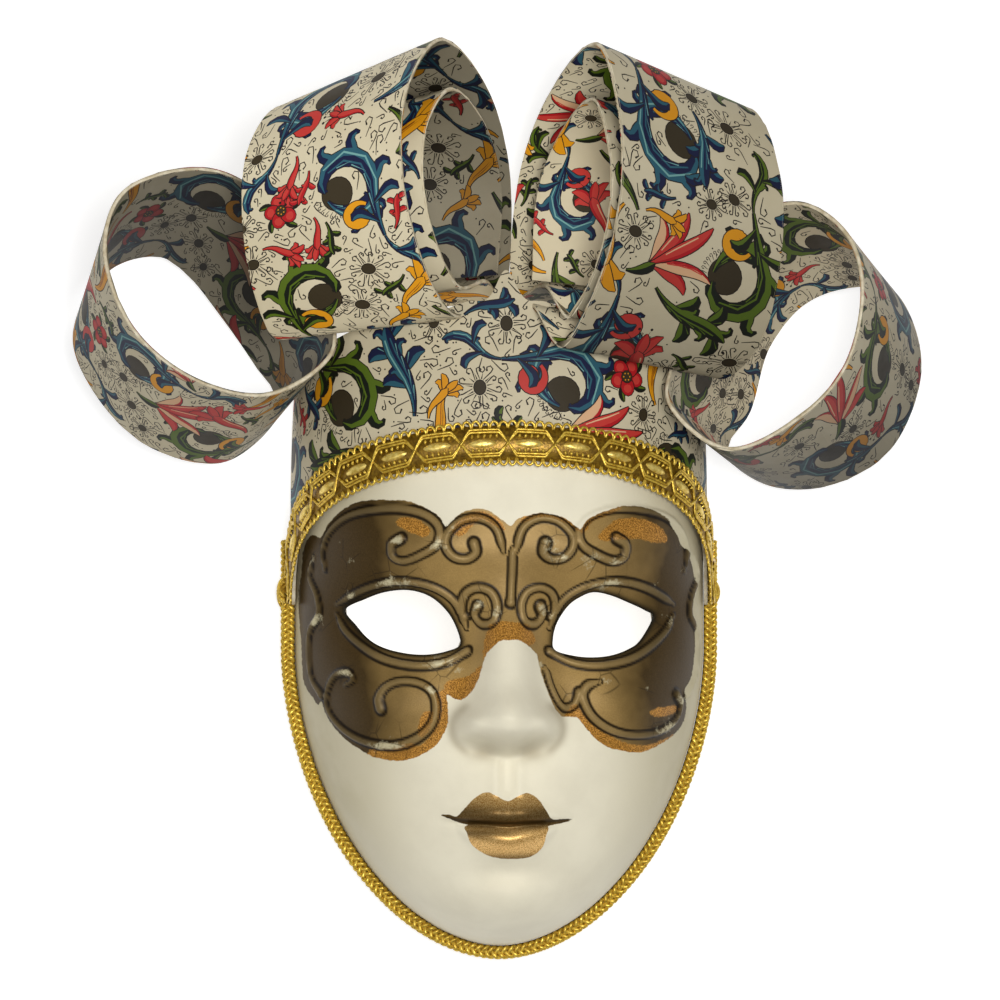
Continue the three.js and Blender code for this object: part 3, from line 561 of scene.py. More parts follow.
def face_grid(chin_rows, bands, columns, inset=0.0, drop=0.0):
    """Points of the face's skin, drawn in by inset at the rim and lowered by drop, and x and y of the same
    points on the outer skin."""
    d = 1 - 0.25 * np.linspace(0, 1, chin_rows + 1)[1:-1] ** 2
    y = np.concatenate([JAW_TOP_Y - JAW_HEIGHT * d,
                        steps((JAW_TOP_Y - JAW_HEIGHT * 0.75, bands[0][0], 6), *bands)])
    t = np.linspace(-1, 1, columns)
    side = np.sin(np.pi / 2 * t * (0.6 + 0.4 * t * t))
    y, side = np.meshgrid(y, side, indexing="ij")
    limit = top_edge(side * TOP_HALF_WIDTH)
    start = ARCH_FROM_Y
    y = np.where(y > start, start + (y - start) * (limit - start) / (TOP_EDGE_Y - start), y)
    x = side * half_width(y)
    z = face_height(x, y)
    z[:, [0, -1]] = 0
    if not inset:
        return np.stack([x, y, z], -1), x, y
    shrink = (JAW_HEIGHT - inset) / JAW_HEIGHT
    low = y < JAW_TOP_Y
    inner_y = np.where(low, JAW_TOP_Y + (y - JAW_TOP_Y) * shrink, y)
    inner_x = x * (FACE_HALF_WIDTH - inset) / FACE_HALF_WIDTH
    inner = np.stack([inner_x, inner_y, z * (1 - drop / midline(y))], -1)
    return inner, x, y


def cut_eyes(points, faces, outlines):
    """Opens the eyes: vertices next to an outline move onto it and the faces inside go."""
    points = points.copy()
    flat = points[:, :2]
    keep = np.ones(len(faces), bool)
    for outline in outlines:
        apart = np.abs(flat - (outline[:, 0].mean(), EYE_Y))
        near = np.nonzero((apart < EYE_REACH).all(1) & (points[:, 2] > 8))[0]
        within = np.zeros(len(points), bool)
        within[near] = inside(outline, flat[near])
        mixed = within[faces].any(1) & ~within[faces].all(1)
        edge = np.unique(faces[mixed])
        edge = edge[within[edge]]
        tree = tree_of(outline)
        for v in edge:
            co, _, _ = tree.find((flat[v, 0], flat[v, 1], 0))
            points[v, :2] = co[0], co[1]
        within[edge] = False
        keep &= ~within[faces].any(1)
        near_faces = np.nonzero(np.isin(faces, edge).sum(1) >= 3)[0]
        middle = points[faces[near_faces], :2].mean(1)
        keep[near_faces[inside(outline, middle)]] = False
    return points, faces[keep]


def open_edges(faces):
    """Directed edges that only one face uses."""
    edges = np.concatenate([np.stack([faces[:, i], faces[:, (i + 1) % faces.shape[1]]], 1)
                            for i in range(faces.shape[1])])
    low, high = edges.min(1).astype(np.int64), edges.max(1).astype(np.int64)
    _, first, count = np.unique(low * 10 ** 7 + high, return_index=True, return_counts=True)
    return edges[first[count == 1]]


def build_face():
    """The painted skin with its relief lines and the eyes' walls, then the plain inner skin with the rims."""
    outlines = [spline(e, 0.15, True) for e in (LEFT_EYE, RIGHT_EYE)]
    grid, x, y = face_grid(CHIN_ROWS, FACE_BANDS, FACE_COLUMNS)
    rows, columns = grid.shape[:2]
    faces = grid_faces(rows, columns)[:, ::-1]
    points = grid.reshape(-1, 3)
    normal = np.cross(np.gradient(grid, axis=1), np.gradient(grid, axis=0)).reshape(-1, 3)
    normal = unit(normal * np.where(normal[:, 2:] < 0, -1, 1))
    # relief lines: how high each point stands on one, and how deep in the crease beside it
    lines = MIRRORED_LINES + [[(-a + 1, b) for a, b in line] for line in MIRRORED_LINES] + OTHER_LINES
    samples, widths = [], []
    rng = random.Random(5)
    for line in lines:
        flat = spline(line, 0.3)
        t = np.linspace(0, 1, len(flat))
        swell = (RELIEF_RADIUS + 0.12 * np.sin(t * len(flat) * 0.03 + rng.uniform(0, 6))
                 + 0.35 * bell(t - 1, 0.06))
        samples.append(np.column_stack([flat, face_height(flat[:, 0], flat[:, 1])]))
        widths.append(swell * (0.55 + 0.45 * ramp(0, 0.08, t)))
    samples, widths = np.concatenate(samples), np.concatenate(widths)
    tree = tree_of(samples)
    ridge, crease = np.zeros(len(points)), np.zeros(len(points))
    zone = np.nonzero((points[:, 1] > -92) & (points[:, 1] < 3) & (points[:, 2] > 5))[0]
    for v in zone:
        _, i, d = tree.find(points[v])
        if d < widths[i] * RELIEF_REACH:
            s = d / widths[i]
            ridge[v] = max(1 - s * s, 0) ** 0.7 * widths[i] / RELIEF_RADIUS
            crease[v] = math.exp(-((s - CREASE_AT) / CREASE_WIDTH) ** 2)
    points = points + normal * (ridge * RELIEF_HEIGHT)[:, None]
    points, faces = cut_eyes(points, faces, outlines)
    flat = np.stack([x.ravel(), y.ravel()], 1)
    # signed distances and shares that the paint reads
    bronze = signed_distance(flat, spline(MASK_OUTLINE, 0.3, True))
    gold = np.max([signed_distance(flat, spline(g, 0.3, True)) for g in GOLD_PATCHES], 0)
    lips = np.max([signed_distance(flat, spline(g, 0.2, True)) for g in (UPPER_LIP, LOWER_LIP)], 0)
    fx, fy = flat.T
    lips = np.maximum(lips, np.where(np.abs(fx) < 14, 0.9 - np.abs(fy + 114.6), -9))
    line = fy - (-114.2 + 0.0034 * fx ** 2)  # height over the line between the lips
    # the line between the lips and the darker upper lip, with painted shade over the lower lip's left side
    # and along its lower edge
    mouth = np.maximum(bell(line - 1.2, 2.6 - 0.5 * bell(fx, 8)) * ramp(-1.2, -0.2, line),
                       0.9 * bell(line, 1.0))
    mouth = np.maximum(mouth, 0.75 * bell(line + 2.8, 1.9) * ramp(8, -9, fx))
    mouth = np.maximum(mouth, 0.7 * bell(line + 11.2, 1.5))
    mouth = np.maximum(mouth, ramp(0, 1.5, line) * (0.85 - 0.45 * ramp(4, 9, line)))
    worn = np.max([bell(np.hypot(fx - a, fy - b), r) for a, b, r in WORN_SPOTS], 0)
    eye = np.max([signed_distance(flat, e) for e in outlines], 0)
    # side below is painted shade, growing towards the face's sides
    values = {"bronze": bronze, "gold": gold, "lips": lips, "mouth": mouth, "ridge": ridge, "crease": crease,
              # rim: a dark line painted round the eyes, and painted shade on the openings' walls
              "worn": worn, "rim": bell(np.minimum(eye, 0), 1.5), "side": ramp(24, 66, np.abs(fx - 2)),
              # painted shade under the nose and round its wings
              "soil": 0.6 * bell(np.abs(fx) - 8.5, 5) * bell(fy + 88.5, 2.8)
              + 0.45 * bell(np.hypot(np.abs(fx) - 11, fy + 80) - 8.5, 1.6) * ramp(12, 16, np.abs(fx))}
    # walls through the eye holes
    edges = open_edges(faces)
    middle = points[edges].mean(1)
    eye_edges = edges[(np.abs(middle[:, 0]) < 62) & (middle[:, 1] > -60) & (middle[:, 1] < -25)
                      & (middle[:, 2] > 10)]
    ids, back = np.unique(eye_edges, return_inverse=True)
    back = back.reshape(-1, 2)
    low = points[ids] - [0, 0, WALL]
    walls = np.column_stack([eye_edges[:, 1], eye_edges[:, 0], back[:, 0] + len(points),
                             back[:, 1] + len(points)])
    points, faces = np.concatenate([points, low]), np.concatenate([faces, walls])
    values = {k: np.concatenate([v, v[ids]]) for k, v in values.items()}
    used, faces = np.unique(faces, return_inverse=True)
    piece = new_mesh("face_front", points[used], faces.reshape(-1, 4), "face_shell", FACE_PAINT)
    for key, v in values.items():
        point_value(piece, key, v[used])
    # inner skin with the rims
    outer = face_grid(INSIDE_CHIN_ROWS, INSIDE_BANDS, INSIDE_COLUMNS)[0]
    inner = face_grid(INSIDE_CHIN_ROWS, INSIDE_BANDS, INSIDE_COLUMNS, RIM_WALL, WALL)[0]
    rows, columns = inner.shape[:2]
    faces = grid_faces(rows, columns)
    points, faces = cut_eyes(inner.reshape(-1, 3), faces, outlines)
    ring = np.concatenate([[(r, 0) for r in range(rows - 1, -1, -1)], [(r, columns - 1) for r in range(rows)],
                           [(rows - 1, c) for c in range(columns - 2, 0, -1)]])
    inside_ring, outside_ring = ring[:, 0] * columns + ring[:, 1], np.arange(len(ring)) + len(points)
    points = np.concatenate([points, outer[ring[:, 0], ring[:, 1]]])
    nxt = np.roll(np.arange(len(ring)), -1)
    rim = np.column_stack([inside_ring, inside_ring[nxt], outside_ring[nxt], outside_ring])
    faces = np.concatenate([faces, rim[:, ::-1]])
    new_mesh("face_inside", points, faces, "face_shell", FACE_BACK)


# Printed paper: a pattern of scroll leaves, flowers and pen hooks, drawn flat in millimetres

INKS = {
    "paper": (226, 214, 182), "pen": (34, 24, 18), "navy": (18, 26, 66), "teal": (44, 96, 114),
    "aqua": (122, 176, 172), "dark_green": (20, 26, 12), "green": (92, 116, 28), "olive": (60, 50, 30),
    "ochre": (238, 162, 22), "amber": (160, 88, 14), "crimson": (188, 24, 32), "rose": (210, 62, 54),
    "peach": (238, 190, 146),
}
INK_NAMES = list(INKS)
SCHEMES = {  # light side, dark side, streak, hatching
    "blue": ("teal", "navy", "aqua", "aqua"),
    "green": ("green", "dark_green", "green", "green"),
    "gold": ("ochre", "ochre", "ochre", "amber"),
    "red": ("rose", "crimson", "peach", "crimson"),
    "peach": ("peach", "crimson", "peach", "rose"),
}


MARGIN, CELL = 16.0, 0.3  # of the bitmap of taken ground
EDGE, PEN, FINE_PEN = 0.38, 0.46, 0.3  # pen line round a leaf, of a hook and of a small hook
SCROLL_SIZE, SCROLL_OFFSET, SCROLL_SPACING = 25.0, (18, 24), (38, 43)
HOOK_SPACING, HOOK_SIZES, COMB_SIZES = 3.5, (8.5, 6.5, 4.5), (8.0, 6.5, 4.5)
CHUNK, RULING = 20.0, 10.0  # lengths that the sheet is cut into, and bent at


class Print:
    """Filled outlines in drawing order, over a bitmap of the ground that is taken."""

    def __init__(self, seed, length, width):
        self.shapes, self.combs = [], []
        self.length, self.width = length, width
        self.rng = random.Random(seed)
        self.taken = np.zeros((int((length + 2 * MARGIN) / CELL), int((width + 2 * MARGIN) / CELL)), bool)

    def fill(self, ink, points):
        self.shapes.append((INK_NAMES.index(ink), np.array(points, float)))

    def cover(self, points, radius):
        for x, y in points:
            i, j, k = (x + MARGIN) / CELL, (y + MARGIN) / CELL, radius / CELL
            i0, i1 = max(int(i - k), 0), min(int(i + k) + 2, self.taken.shape[0])
            j0, j1 = max(int(j - k), 0), min(int(j + k) + 2, self.taken.shape[1])
            if i0 < i1 and j0 < j1:
                a, b = np.ogrid[i0:i1, j0:j1]
                self.taken[i0:i1, j0:j1] |= (a - i) ** 2 + (b - j) ** 2 <= k * k

    def free(self, points):
        ij = ((points + MARGIN) / CELL).astype(int)
        ok = (ij >= 0).all(1) & (ij[:, 0] < self.taken.shape[0]) & (ij[:, 1] < self.taken.shape[1])
        ij = ij[ok]
        return len(ij) > 0.3 * len(points) and not self.taken[ij[:, 0], ij[:, 1]].any()


def arc_path(start, angle, bends, step=1.0):
    """A path from start in direction angle; each (length, turn) bends it evenly."""
    x, y = start
    points = [(x, y)]
    for length, turn in bends:
        count = max(2, int(length / step))
        for _ in range(count):
            angle += turn / count / 2
            x += math.cos(angle) * length / count
            y += math.sin(angle) * length / count
            angle += turn / count / 2
            points.append((x, y))
    return np.array(points)


def flat_run(path):
    """The distance along a flat path at each of its points."""
    return np.concatenate([[0], np.cumsum(np.hypot(*np.diff(path, axis=0).T))])


def resample(path, count):
    """count points at even distances along path."""
    path = np.asarray(path, float)
    at = flat_run(path)
    want = np.linspace(0, at[-1], count)
    return np.stack([np.interp(want, at, path[:, 0]), np.interp(want, at, path[:, 1])], 1)


def toward(angle, length=1.0):
    return length * np.array([math.cos(angle), math.sin(angle)])


def sides(path):
    """Unit vectors to the left of path."""
    d = np.gradient(path, axis=0)
    d /= np.maximum(np.hypot(d[:, 0], d[:, 1]), 1e-9)[:, None]
    return np.stack([-d[:, 1], d[:, 0]], 1)


def heading(path, i=-1):
    d = path[i] - path[i - 2] if i < 0 or i > 1 else path[i + 2] - path[i]
    return math.atan2(d[1], d[0])


def band(path, left, right):
    """Outline of a band from right to left of path."""
    n = sides(path)
    return np.concatenate([path + n * np.asarray(left)[:, None],
                           (path + n * np.asarray(right)[:, None])[::-1]])


def stroke(pr, ink, path, width, count=6):
    path = resample(path, count)
    n = sides(path) * width / 2
    pr.fill(ink, np.concatenate([path[:1], (path + n)[1:-1], path[-1:], (path - n)[-2:0:-1]]))


def hook_path(x, y, angle, size, side):
    """A nearly straight pen stem that ends in a hook, in few points."""
    stem = arc_path((x, y), angle, [(size * 0.55, -0.7 * side)], size * 0.3)
    curl = arc_path(stem[-1], angle - 0.7 * side, [(size * 0.78, 4.9 * side)], size * 0.78 / 4.1)
    return np.concatenate([stem[::2], curl[1:]])


def hook(pr, path, width=PEN):
    n = sides(path)
    w = np.full(len(path), width / 2)
    w[[0, -1]] = width * 0.3, width * 0.8
    pr.fill("pen", np.concatenate([path + n * w[:, None], (path - n * w[:, None])[::-1]]))


def blob(pr, x, y, rx, ry, ink, count=12, angle=0.0, rim=None, keep=0.5):
    a = np.linspace(0, 2 * np.pi, count, endpoint=False)
    shape = np.stack([np.cos(a), np.sin(a)], 1)
    turn = np.array([[math.cos(angle), math.sin(angle)], [-math.sin(angle), math.cos(angle)]])
    if rim:
        pr.fill(rim, shape * [rx + 0.35, ry + 0.35] @ turn + [x, y])
    pr.fill(ink, shape * [rx, ry] @ turn + [x, y])
    pr.cover([(x, y)], max(rx, ry) + keep)


def tick(pr, ink, start, end, width):
    """A pointed hatching stroke."""
    d = np.array(end) - start
    side = np.array([-d[1], d[0]]) / max(float(np.hypot(*d)), 1e-6) * width / 2
    pr.fill(ink, [start + side, end, start - side])


def leaf(pr, path, width, scheme, outer=1, fingers=0, comb=False, peak=0.72, full=False):
    """A scroll leaf: thin at its root, widest at peak, light on its outer side and dark inside, streaked
    along, with fingers that curl back on both sides of the wide end."""
    light, dark, bright, hatch = SCHEMES[scheme]
    length = float(np.hypot(*np.diff(path, axis=0).T).sum())
    count = int(np.clip(length / 3 + 4, 7, 14))
    path = resample(path, count)
    t = np.linspace(0, 1, count)
    n = sides(path) * outer
    swell = width / 2 * np.where(t < peak, 0.12 + 0.88 * np.sin(np.pi / 2 * np.clip(t / peak, 0, 1)) ** 1.3,
                                 np.cos(np.pi / 2 * np.clip((t - peak) / (1 - peak), 0, 1)) ** 0.7)
    swell[-1] = 0.02
    made = []
    for k in range(fingers):
        at = 0.4 + 0.52 * k / max(fingers - 1, 1)
        i = min(int(at * (count - 1)), count - 3)
        hand = -outer if k % 3 == 1 else outer
        size = width * (0.7 + 0.4 * math.sin(math.pi * min(at, 0.85)))
        base = path[i] + sides(path)[i] * hand * swell[i] * 0.25
        bends = [(size * 0.75, 0.15 * hand), (size * 0.85, 2.5 * hand)]
        finger = resample(arc_path(base, heading(path, i) + 0.4 * hand, bends, 0.4), 7)
        made.append((finger, size * np.array([0.2, 0.27, 0.28, 0.25, 0.2, 0.12, 0.02]), hand))
    for finger, w, _ in made:
        pr.fill("pen", band(finger, w + EDGE, -w - EDGE))
        pr.cover(finger, w.max() + 0.5)
    pr.fill("pen", np.concatenate([path + n * (swell + EDGE)[:, None],
                                   (path - n * (swell * 0.9 + EDGE)[:, None])[::-1]]))
    for p, r in zip(path, swell):
        pr.cover([p], r + 0.6)
    for finger, w, hand in made:
        pr.fill(dark, band(finger, w, -w))
        if dark != light:
            pr.fill(light, band(finger[:6], w[:6], w[:6] * 0.15) if hand > 0
                    else band(finger[:6], -0.15 * w[:6], -w[:6]))
    pr.fill(dark, np.concatenate([path + n * swell[:, None], (path - n * (swell * 0.9)[:, None])[::-1]]))
    if light != dark:
        inner = swell * (0.4 if full else -0.2)
        pr.fill(light, np.concatenate([path + n * swell[:, None], (path - n * inner[:, None])[::-1]]))
    if width > 3 and count > 10:
        some = slice(count // 4, -2, 2)
        for at, ink in ((0.62, bright), (-0.3, hatch if full else light)):
            if ink != (light if at > 0 else dark):
                mid = path[some] + n[some] * (swell[some] * at)[:, None]
                w = np.maximum(swell[some] * 0.11, 0.16)[:, None] * n[some]
                pr.fill(ink, np.concatenate([mid + w, (mid - w)[::-1]]))
    if light == dark and count > 9:
        stroke(pr, "amber", path[2:-1], 0.32, count // 2)
        stroke(pr, "pen", (path - n * (swell * 0.45)[:, None])[count // 3:-1], 0.22, count // 3)
    if width > 4:
        for i in range(count // 3, count - 3, 2):
            tip = path[i - 2] - n[i - 2] * swell[i - 2] * 0.3
            tick(pr, hatch, path[i] - n[i] * swell[i] * 0.75, tip, 0.4)
    if comb:
        pr.combs.append((path, n, swell, outer))
    return path


def side_leaf(pr, stem, at, lean, bends, width, scheme, side, **shape):
    """A small leaf that leaves stem at a share of its points and bends to a side."""
    i = int(len(stem) * at)
    path = arc_path(stem[i], heading(stem, i) + lean, [(length, turn * side) for length, turn in bends], 0.7)
    leaf(pr, path, width, scheme, side, **shape)


def comma(pr, x, y, angle, size, hand, scheme):
    """A rolled ball with a tail."""
    light = SCHEMES[scheme][0]
    path = resample(arc_path((x, y), angle, [(size * 0.9, 1.6 * hand), (size * 1.0, 3.2 * hand)], 0.6), 18)
    t = np.linspace(0, 1, 18)
    w = size * (0.06 + 0.30 * t ** 1.3)
    w[-1] *= 0.8
    pr.fill("pen", band(path, w + EDGE, -w - EDGE))
    blob(pr, *path[-1], size * 0.33 + EDGE, size * 0.33 + EDGE, "pen", 16)
    pr.fill(light, band(path, w, -w))
    blob(pr, *path[-1], size * 0.33, size * 0.33, light, 16)
    inner = arc_path(path[-1] - 0.1 * size, heading(path), [(size * 0.7, 4.2 * hand)], 0.4)
    stroke(pr, "amber" if scheme == "gold" else "pen", inner, 0.32, 9)
    pr.cover(path[::3], size * 0.3 + 0.5)


def scroll(pr, x, y, angle, size, hand, scheme, partner):
    """The big motif: a C-shaped leaf rolled over an olive disc, a second leaf, a comma and a trailing
    vine."""
    vine = arc_path((x, y), angle + math.pi, [(size * 0.45, 0.9 * hand), (size * 0.55, -1.5 * hand)], 0.9)
    leaf(pr, vine, size * 0.13, scheme, hand, 2)
    for at, side in ((0.3, 1), (0.5, -1)):
        bends = [(size * 0.22, 0.3), (size * 0.2, 1.9)]
        side_leaf(pr, vine, at, 0.7 * side, bends, size * 0.12, scheme, side)
    path = arc_path((x, y), angle,
                    [(size * 0.8, -0.25 * hand), (size * 0.8, 1.7 * hand), (size * 0.65, 1.9 * hand)], 0.9)
    end, turn = path[-1], heading(path)
    centre = end + toward(turn + 1.1 * hand, size * 0.2)
    comb_disc(pr, centre[0], centre[1], size * 0.25, turn - 1.6 * hand, turn - 0.2 * hand)
    second = arc_path(end + toward(turn, 0.12 * size), turn + 0.35 * hand,
                      [(size * 0.42, 0.7 * hand), (size * 0.5, 1.6 * hand)], 0.8)
    leaf(pr, second, size * 0.26, scheme, -hand, 4)
    leaf(pr, path, size * 0.28, scheme, -hand, 5, True, 0.68)
    tip = second[int(len(second) * 0.75)]
    comma(pr, tip[0], tip[1], heading(second) + 1.3 * hand, size * 0.38, hand, partner)
    for at, lean, side in ((0.1, 0.7, hand), (0.24, -0.8, -hand)):
        bends = [(size * 0.3, 0.2), (size * 0.25, 1.9)]
        side_leaf(pr, path, at, lean * hand, bends, size * 0.14, scheme, side)


def lily(pr, x, y, angle, size, hand, scheme):
    """Long narrow petals that fan from one stalk."""
    for lean, scale, bend, other in ((0.95, 0.7, 0.9, "peach"), (-0.95, 0.7, -0.9, scheme),
                                     (0.5, 0.95, 0.5, scheme),
                                     (-0.5, 0.95, -0.6, "peach"), (0.05, 1.1, 0.3 * hand, scheme)):
        base = np.array([x, y]) + toward(angle, size * 0.32)
        bends = [(size * scale * 0.6, bend * 0.4), (size * scale * 0.35, bend)]
        petal = arc_path(base, angle + lean * 0.6, bends, 0.8)
        leaf(pr, petal, size * 0.17, other, 1 if lean > 0 else -1, full=True, peak=0.5)
    stalk = arc_path((x, y), angle - 0.5 * hand, [(size * 0.42, 0.9 * hand)], 0.8)
    leaf(pr, stalk, size * 0.14, "green", hand)


def trumpet(pr, x, y, angle, size, hand, scheme):
    """A long curved flower: a tapering tube, petals turned back and stamens."""
    tube_path = arc_path((x, y), angle, [(size * 0.5, 0.9 * hand), (size * 0.5, -0.3 * hand)], 0.9)
    end, a = tube_path[-1], heading(tube_path)
    if scheme == "red":
        for k in (-1, 0, 1):
            stem = arc_path(end, a + 0.3 * k, [(size * 0.42, 0.3 * k)], 1.2)
            stroke(pr, "pen", stem, 0.36, 4)
            blob(pr, *stem[-1], 0.6, 0.6, "pen", 6)
    for lean, scale in ((1.3, 0.45), (-1.3, 0.45), (0.6, 0.55), (-0.6, 0.55), (0, 0.5)):
        s = 1 if lean > 0 else -1
        base = end - toward(a, size * 0.22)
        bends = [(size * scale * 0.6, 0.3 * s), (size * scale * 0.5, 1.5 * lean)]
        leaf(pr, arc_path(base, a + lean * 0.45, bends, 0.7), size * 0.18, scheme, s, full=True, peak=0.6)
    leaf(pr, tube_path, size * 0.2, scheme, -hand, peak=0.85, full=True)


def spray(pr, x, y, angle, size, hand, scheme):
    """A leafy spray: a curved stalk with curled leaves on both sides and a fingered head."""
    stalk = arc_path((x, y), angle, [(size * 0.6, 0.7 * hand), (size * 0.5, -0.4 * hand)], 0.9)
    for at, s in ((0.3, 1), (0.45, -1), (0.65, 1), (0.8, -1)):
        bends = [(size * 0.18, 0.1), (size * 0.2, 1.5)]
        side_leaf(pr, stalk, at, 0.75 * s, bends, size * 0.15, scheme, s, peak=0.6)
    leaf(pr, stalk, size * 0.17, scheme, hand, 3 if size > 20 else 2, peak=0.75)


def rosette(pr, x, y, angle, size, hand, scheme):
    """A five-petalled flower with leaves behind it."""
    size *= 0.42
    for k in range(5):
        a = k * 2 * math.pi / 5 + angle + 0.6
        base = (x + math.cos(a) * size * 0.6, y + math.sin(a) * size * 0.6)
        leaf(pr, arc_path(base, a + 0.3, [(size * 0.95, 0.9)], 0.7), size * 0.32, "green", peak=0.5)
    for k in range(5):
        a = k * 2 * math.pi / 5 + angle
        at = np.array([x, y]) + toward(a, size * 0.55)
        blob(pr, *at, size * 0.5, size * 0.42, "crimson", 12, a, "pen")
        blob(pr, *(at * 1.2 - np.array([x, y]) * 0.2), size * 0.24, size * 0.27, "rose", 8, a)
    blob(pr, x, y, size * 0.32, size * 0.32, "olive", 10, 0, "pen")
    for k in range(6):
        a = k * 1.047
        blob(pr, x + math.cos(a) * size * 0.2, y + math.sin(a) * size * 0.2, 0.3, 0.3, "ochre", 5)


def daisy(pr, x, y, angle, size, hand, scheme):
    """An oval seed disc with hooked rays."""
    rng, rays = pr.rng, 22
    size /= 6.5
    for i in range(rays):
        a = angle + i * 2 * math.pi / rays + rng.uniform(-0.05, 0.05)
        x0, y0 = x + 2.6 * size * math.cos(a), y + 3.0 * size * math.sin(a)
        if i % 2 == 0:
            path = hook_path(x0, y0, a, rng.uniform(5.0, 7.2) * size, 1 if i % 4 else -1)
            hook(pr, path)
            pr.cover(path[::2], 0.5)
        else:
            tick(pr, "pen", np.array([x0, y0]),
                 np.array([x0 + 2.6 * size * math.cos(a), y0 + 2.6 * size * math.sin(a)]), 0.5)
    blob(pr, x, y, 2.0 * size, 2.5 * size, "olive", 12, rng.uniform(-0.3, 0.3), "pen", 2.6)


def comb_disc(pr, x, y, r, a0, a1):
    """A dark olive disc with a fringe of hooks over part of its edge."""
    count = int(abs(a1 - a0) * r / 1.4) + 2
    for i in range(count):
        a = a0 + (a1 - a0) * i / (count - 1)
        hook(pr, hook_path(x + (r + 0.6) * math.cos(a), y + (r + 0.6) * math.sin(a), a, 3.2, 1), FINE_PEN)
    blob(pr, x, y, r, r, "olive", 18, 0, "pen")


def envelope(x, y, angle, size, bend, half):
    """Points spread over the ground that a motif needs."""
    path = resample(arc_path((x, y), angle, [(size, bend)], 1.0), 10)
    n = sides(path)
    return np.concatenate([path + n * half * k for k in (-1, -0.5, 0, 0.5, 1)])


# Kind, schemes, size, half width of the ground it needs against its size, tries and most for 100 mm
MOTIFS = [
    (lily, ("red",), 28, 0.16, 300, 1.2), (spray, ("green", "blue", "green"), 32, 0.13, 300, 2),
    (daisy, ("",), 6.5, 0, 150, 2), (trumpet, ("gold",), 26, 0.15, 200, 3),
    (trumpet, ("red",), 24, 0.18, 200, 3), (rosette, ("red",), 15, 0.38, 150, 0.6),
    (spray, ("green", "blue"), 26, 0.14, 300, 5), (daisy, ("",), 6.0, 0, 150, 1),
    (trumpet, ("gold", "gold", "peach"), 18, 0.16, 200, 6), (lily, ("red",), 18, 0.22, 150, 1),
    (spray, ("blue", "green", "gold"), 18, 0.16, 350, 8), (daisy, ("",), 5.4, 0, 150, 1),
    (trumpet, ("gold", "red"), 13, 0.17, 200, 5), (spray, ("green", "blue", "red"), 12, 0.16, 300, 5),
    (daisy, ("",), 5.0, 0, 150, 1),
]


def fill_motifs(pr):
    """Motifs where there is room, from large to small."""
    rng = pr.rng
    ring = np.linspace(0, 2 * np.pi, 16)
    for kind, schemes, size, half, tries, most in MOTIFS:
        placed = 0
        for _ in range(int(pr.length * tries / 100)):
            x, y = rng.uniform(-6, pr.length + 6), rng.uniform(-2, pr.width + 2)
            angle, hand = rng.uniform(0, 2 * math.pi), rng.choice((-1, 1))
            if kind is daisy:
                need = np.concatenate([np.stack([x + r * np.cos(ring), y + r * np.sin(ring)], 1)
                                       for r in (0.3, size / 2, size)])
            elif kind is rosette:
                need = envelope(x - math.cos(angle) * size / 4, y - math.sin(angle) * size / 4, angle,
                                size / 2, 0, size * half)
            else:
                need = envelope(x, y, angle, size * 1.15, 0.3 * hand, size * half)
            if pr.free(need):
                kind(pr, x, y, angle, size, hand, rng.choice(schemes))
                placed += 1
                if placed >= most * pr.length / 100:
                    break


def place_hooks(pr, spots):
    """Draws the first of each list of hooks, (x, y, angle, size, side), that finds free ground."""
    for tries in spots:
        for x, y, angle, size, side in tries:
            path = hook_path(x, y, angle, size, side)
            dense = resample(path, 14)
            if pr.free(dense):
                hook(pr, path)
                pr.cover(dense, 0.7)
                break


def fill_ground(pr):
    """Combs of hooks along the scrolls, then loose hooks and dots on all free ground."""
    rng = pr.rng
    spots = []
    for path, n, out, outer in pr.combs:
        run = flat_run(path)
        for at in np.arange(3.0, run[-1] - 2, 2.5):
            i = int(np.searchsorted(run, at))
            base = path[i] + n[i] * (out[i] + 1.3)
            a = math.atan2(n[i][1], n[i][0]) - 0.5 * outer
            spots.append([(base[0], base[1], a, s, -outer) for s in COMB_SIZES])
    place_hooks(pr, spots)
    spots = []
    for i in range(int(pr.length / HOOK_SPACING) + 1):
        for j in range(int(pr.width / HOOK_SPACING) + 1):
            x, y = (k * HOOK_SPACING + rng.uniform(-1.1, 1.1) for k in (i, j))
            if pr.free(np.array([[x, y]])):
                a, side = rng.uniform(0, 6.28), rng.choice((-1, 1))
                spots.append([(x, y, a + turn, s, side) for s in HOOK_SIZES for turn in (0, 1.6, 3.1, 4.7)])
    rng.shuffle(spots)
    pr.loose = len(pr.shapes)
    place_hooks(pr, spots)
    for _ in range(int(pr.length * pr.width / 25)):
        p = np.array([[rng.uniform(0, pr.length), rng.uniform(0, pr.width)]])
        if pr.free(p):
            pr.cover(p, 1.2)
            a = np.linspace(0, 2 * np.pi, 5, endpoint=False)
            pr.fill("pen", p + 0.35 * np.stack([np.cos(a), np.sin(a)], 1))


def strip_print(seed, length, width, limits=None):
    """A sheet of scrolls, leaves, flowers and daisies, with pen hooks between, inside limits if given."""
    pr = Print(seed, length, width)
    if limits:
        x, y = (np.arange(n) * CELL - MARGIN for n in pr.taken.shape)
        low, high = (limit(x)[:, None] for limit in limits)
        pr.taken |= (y < low - 4) | (y > high + 4)
    rng = pr.rng
    x, i = -18.0, 0
    while x < length + 10:
        up = 1 if i % 2 == 0 else -1
        scheme = ("blue", "green", "blue", "blue", "green")[i % 5]
        scroll(pr, x, width / 2 - up * rng.uniform(*SCROLL_OFFSET), up * rng.uniform(-0.2, 0.3),
               rng.uniform(0.95, 1.05) * SCROLL_SIZE, up, scheme, "gold" if i % 3 else "red")
        x += rng.uniform(*SCROLL_SPACING)
        i += 1
    fill_motifs(pr)
    fill_ground(pr)
    return pr


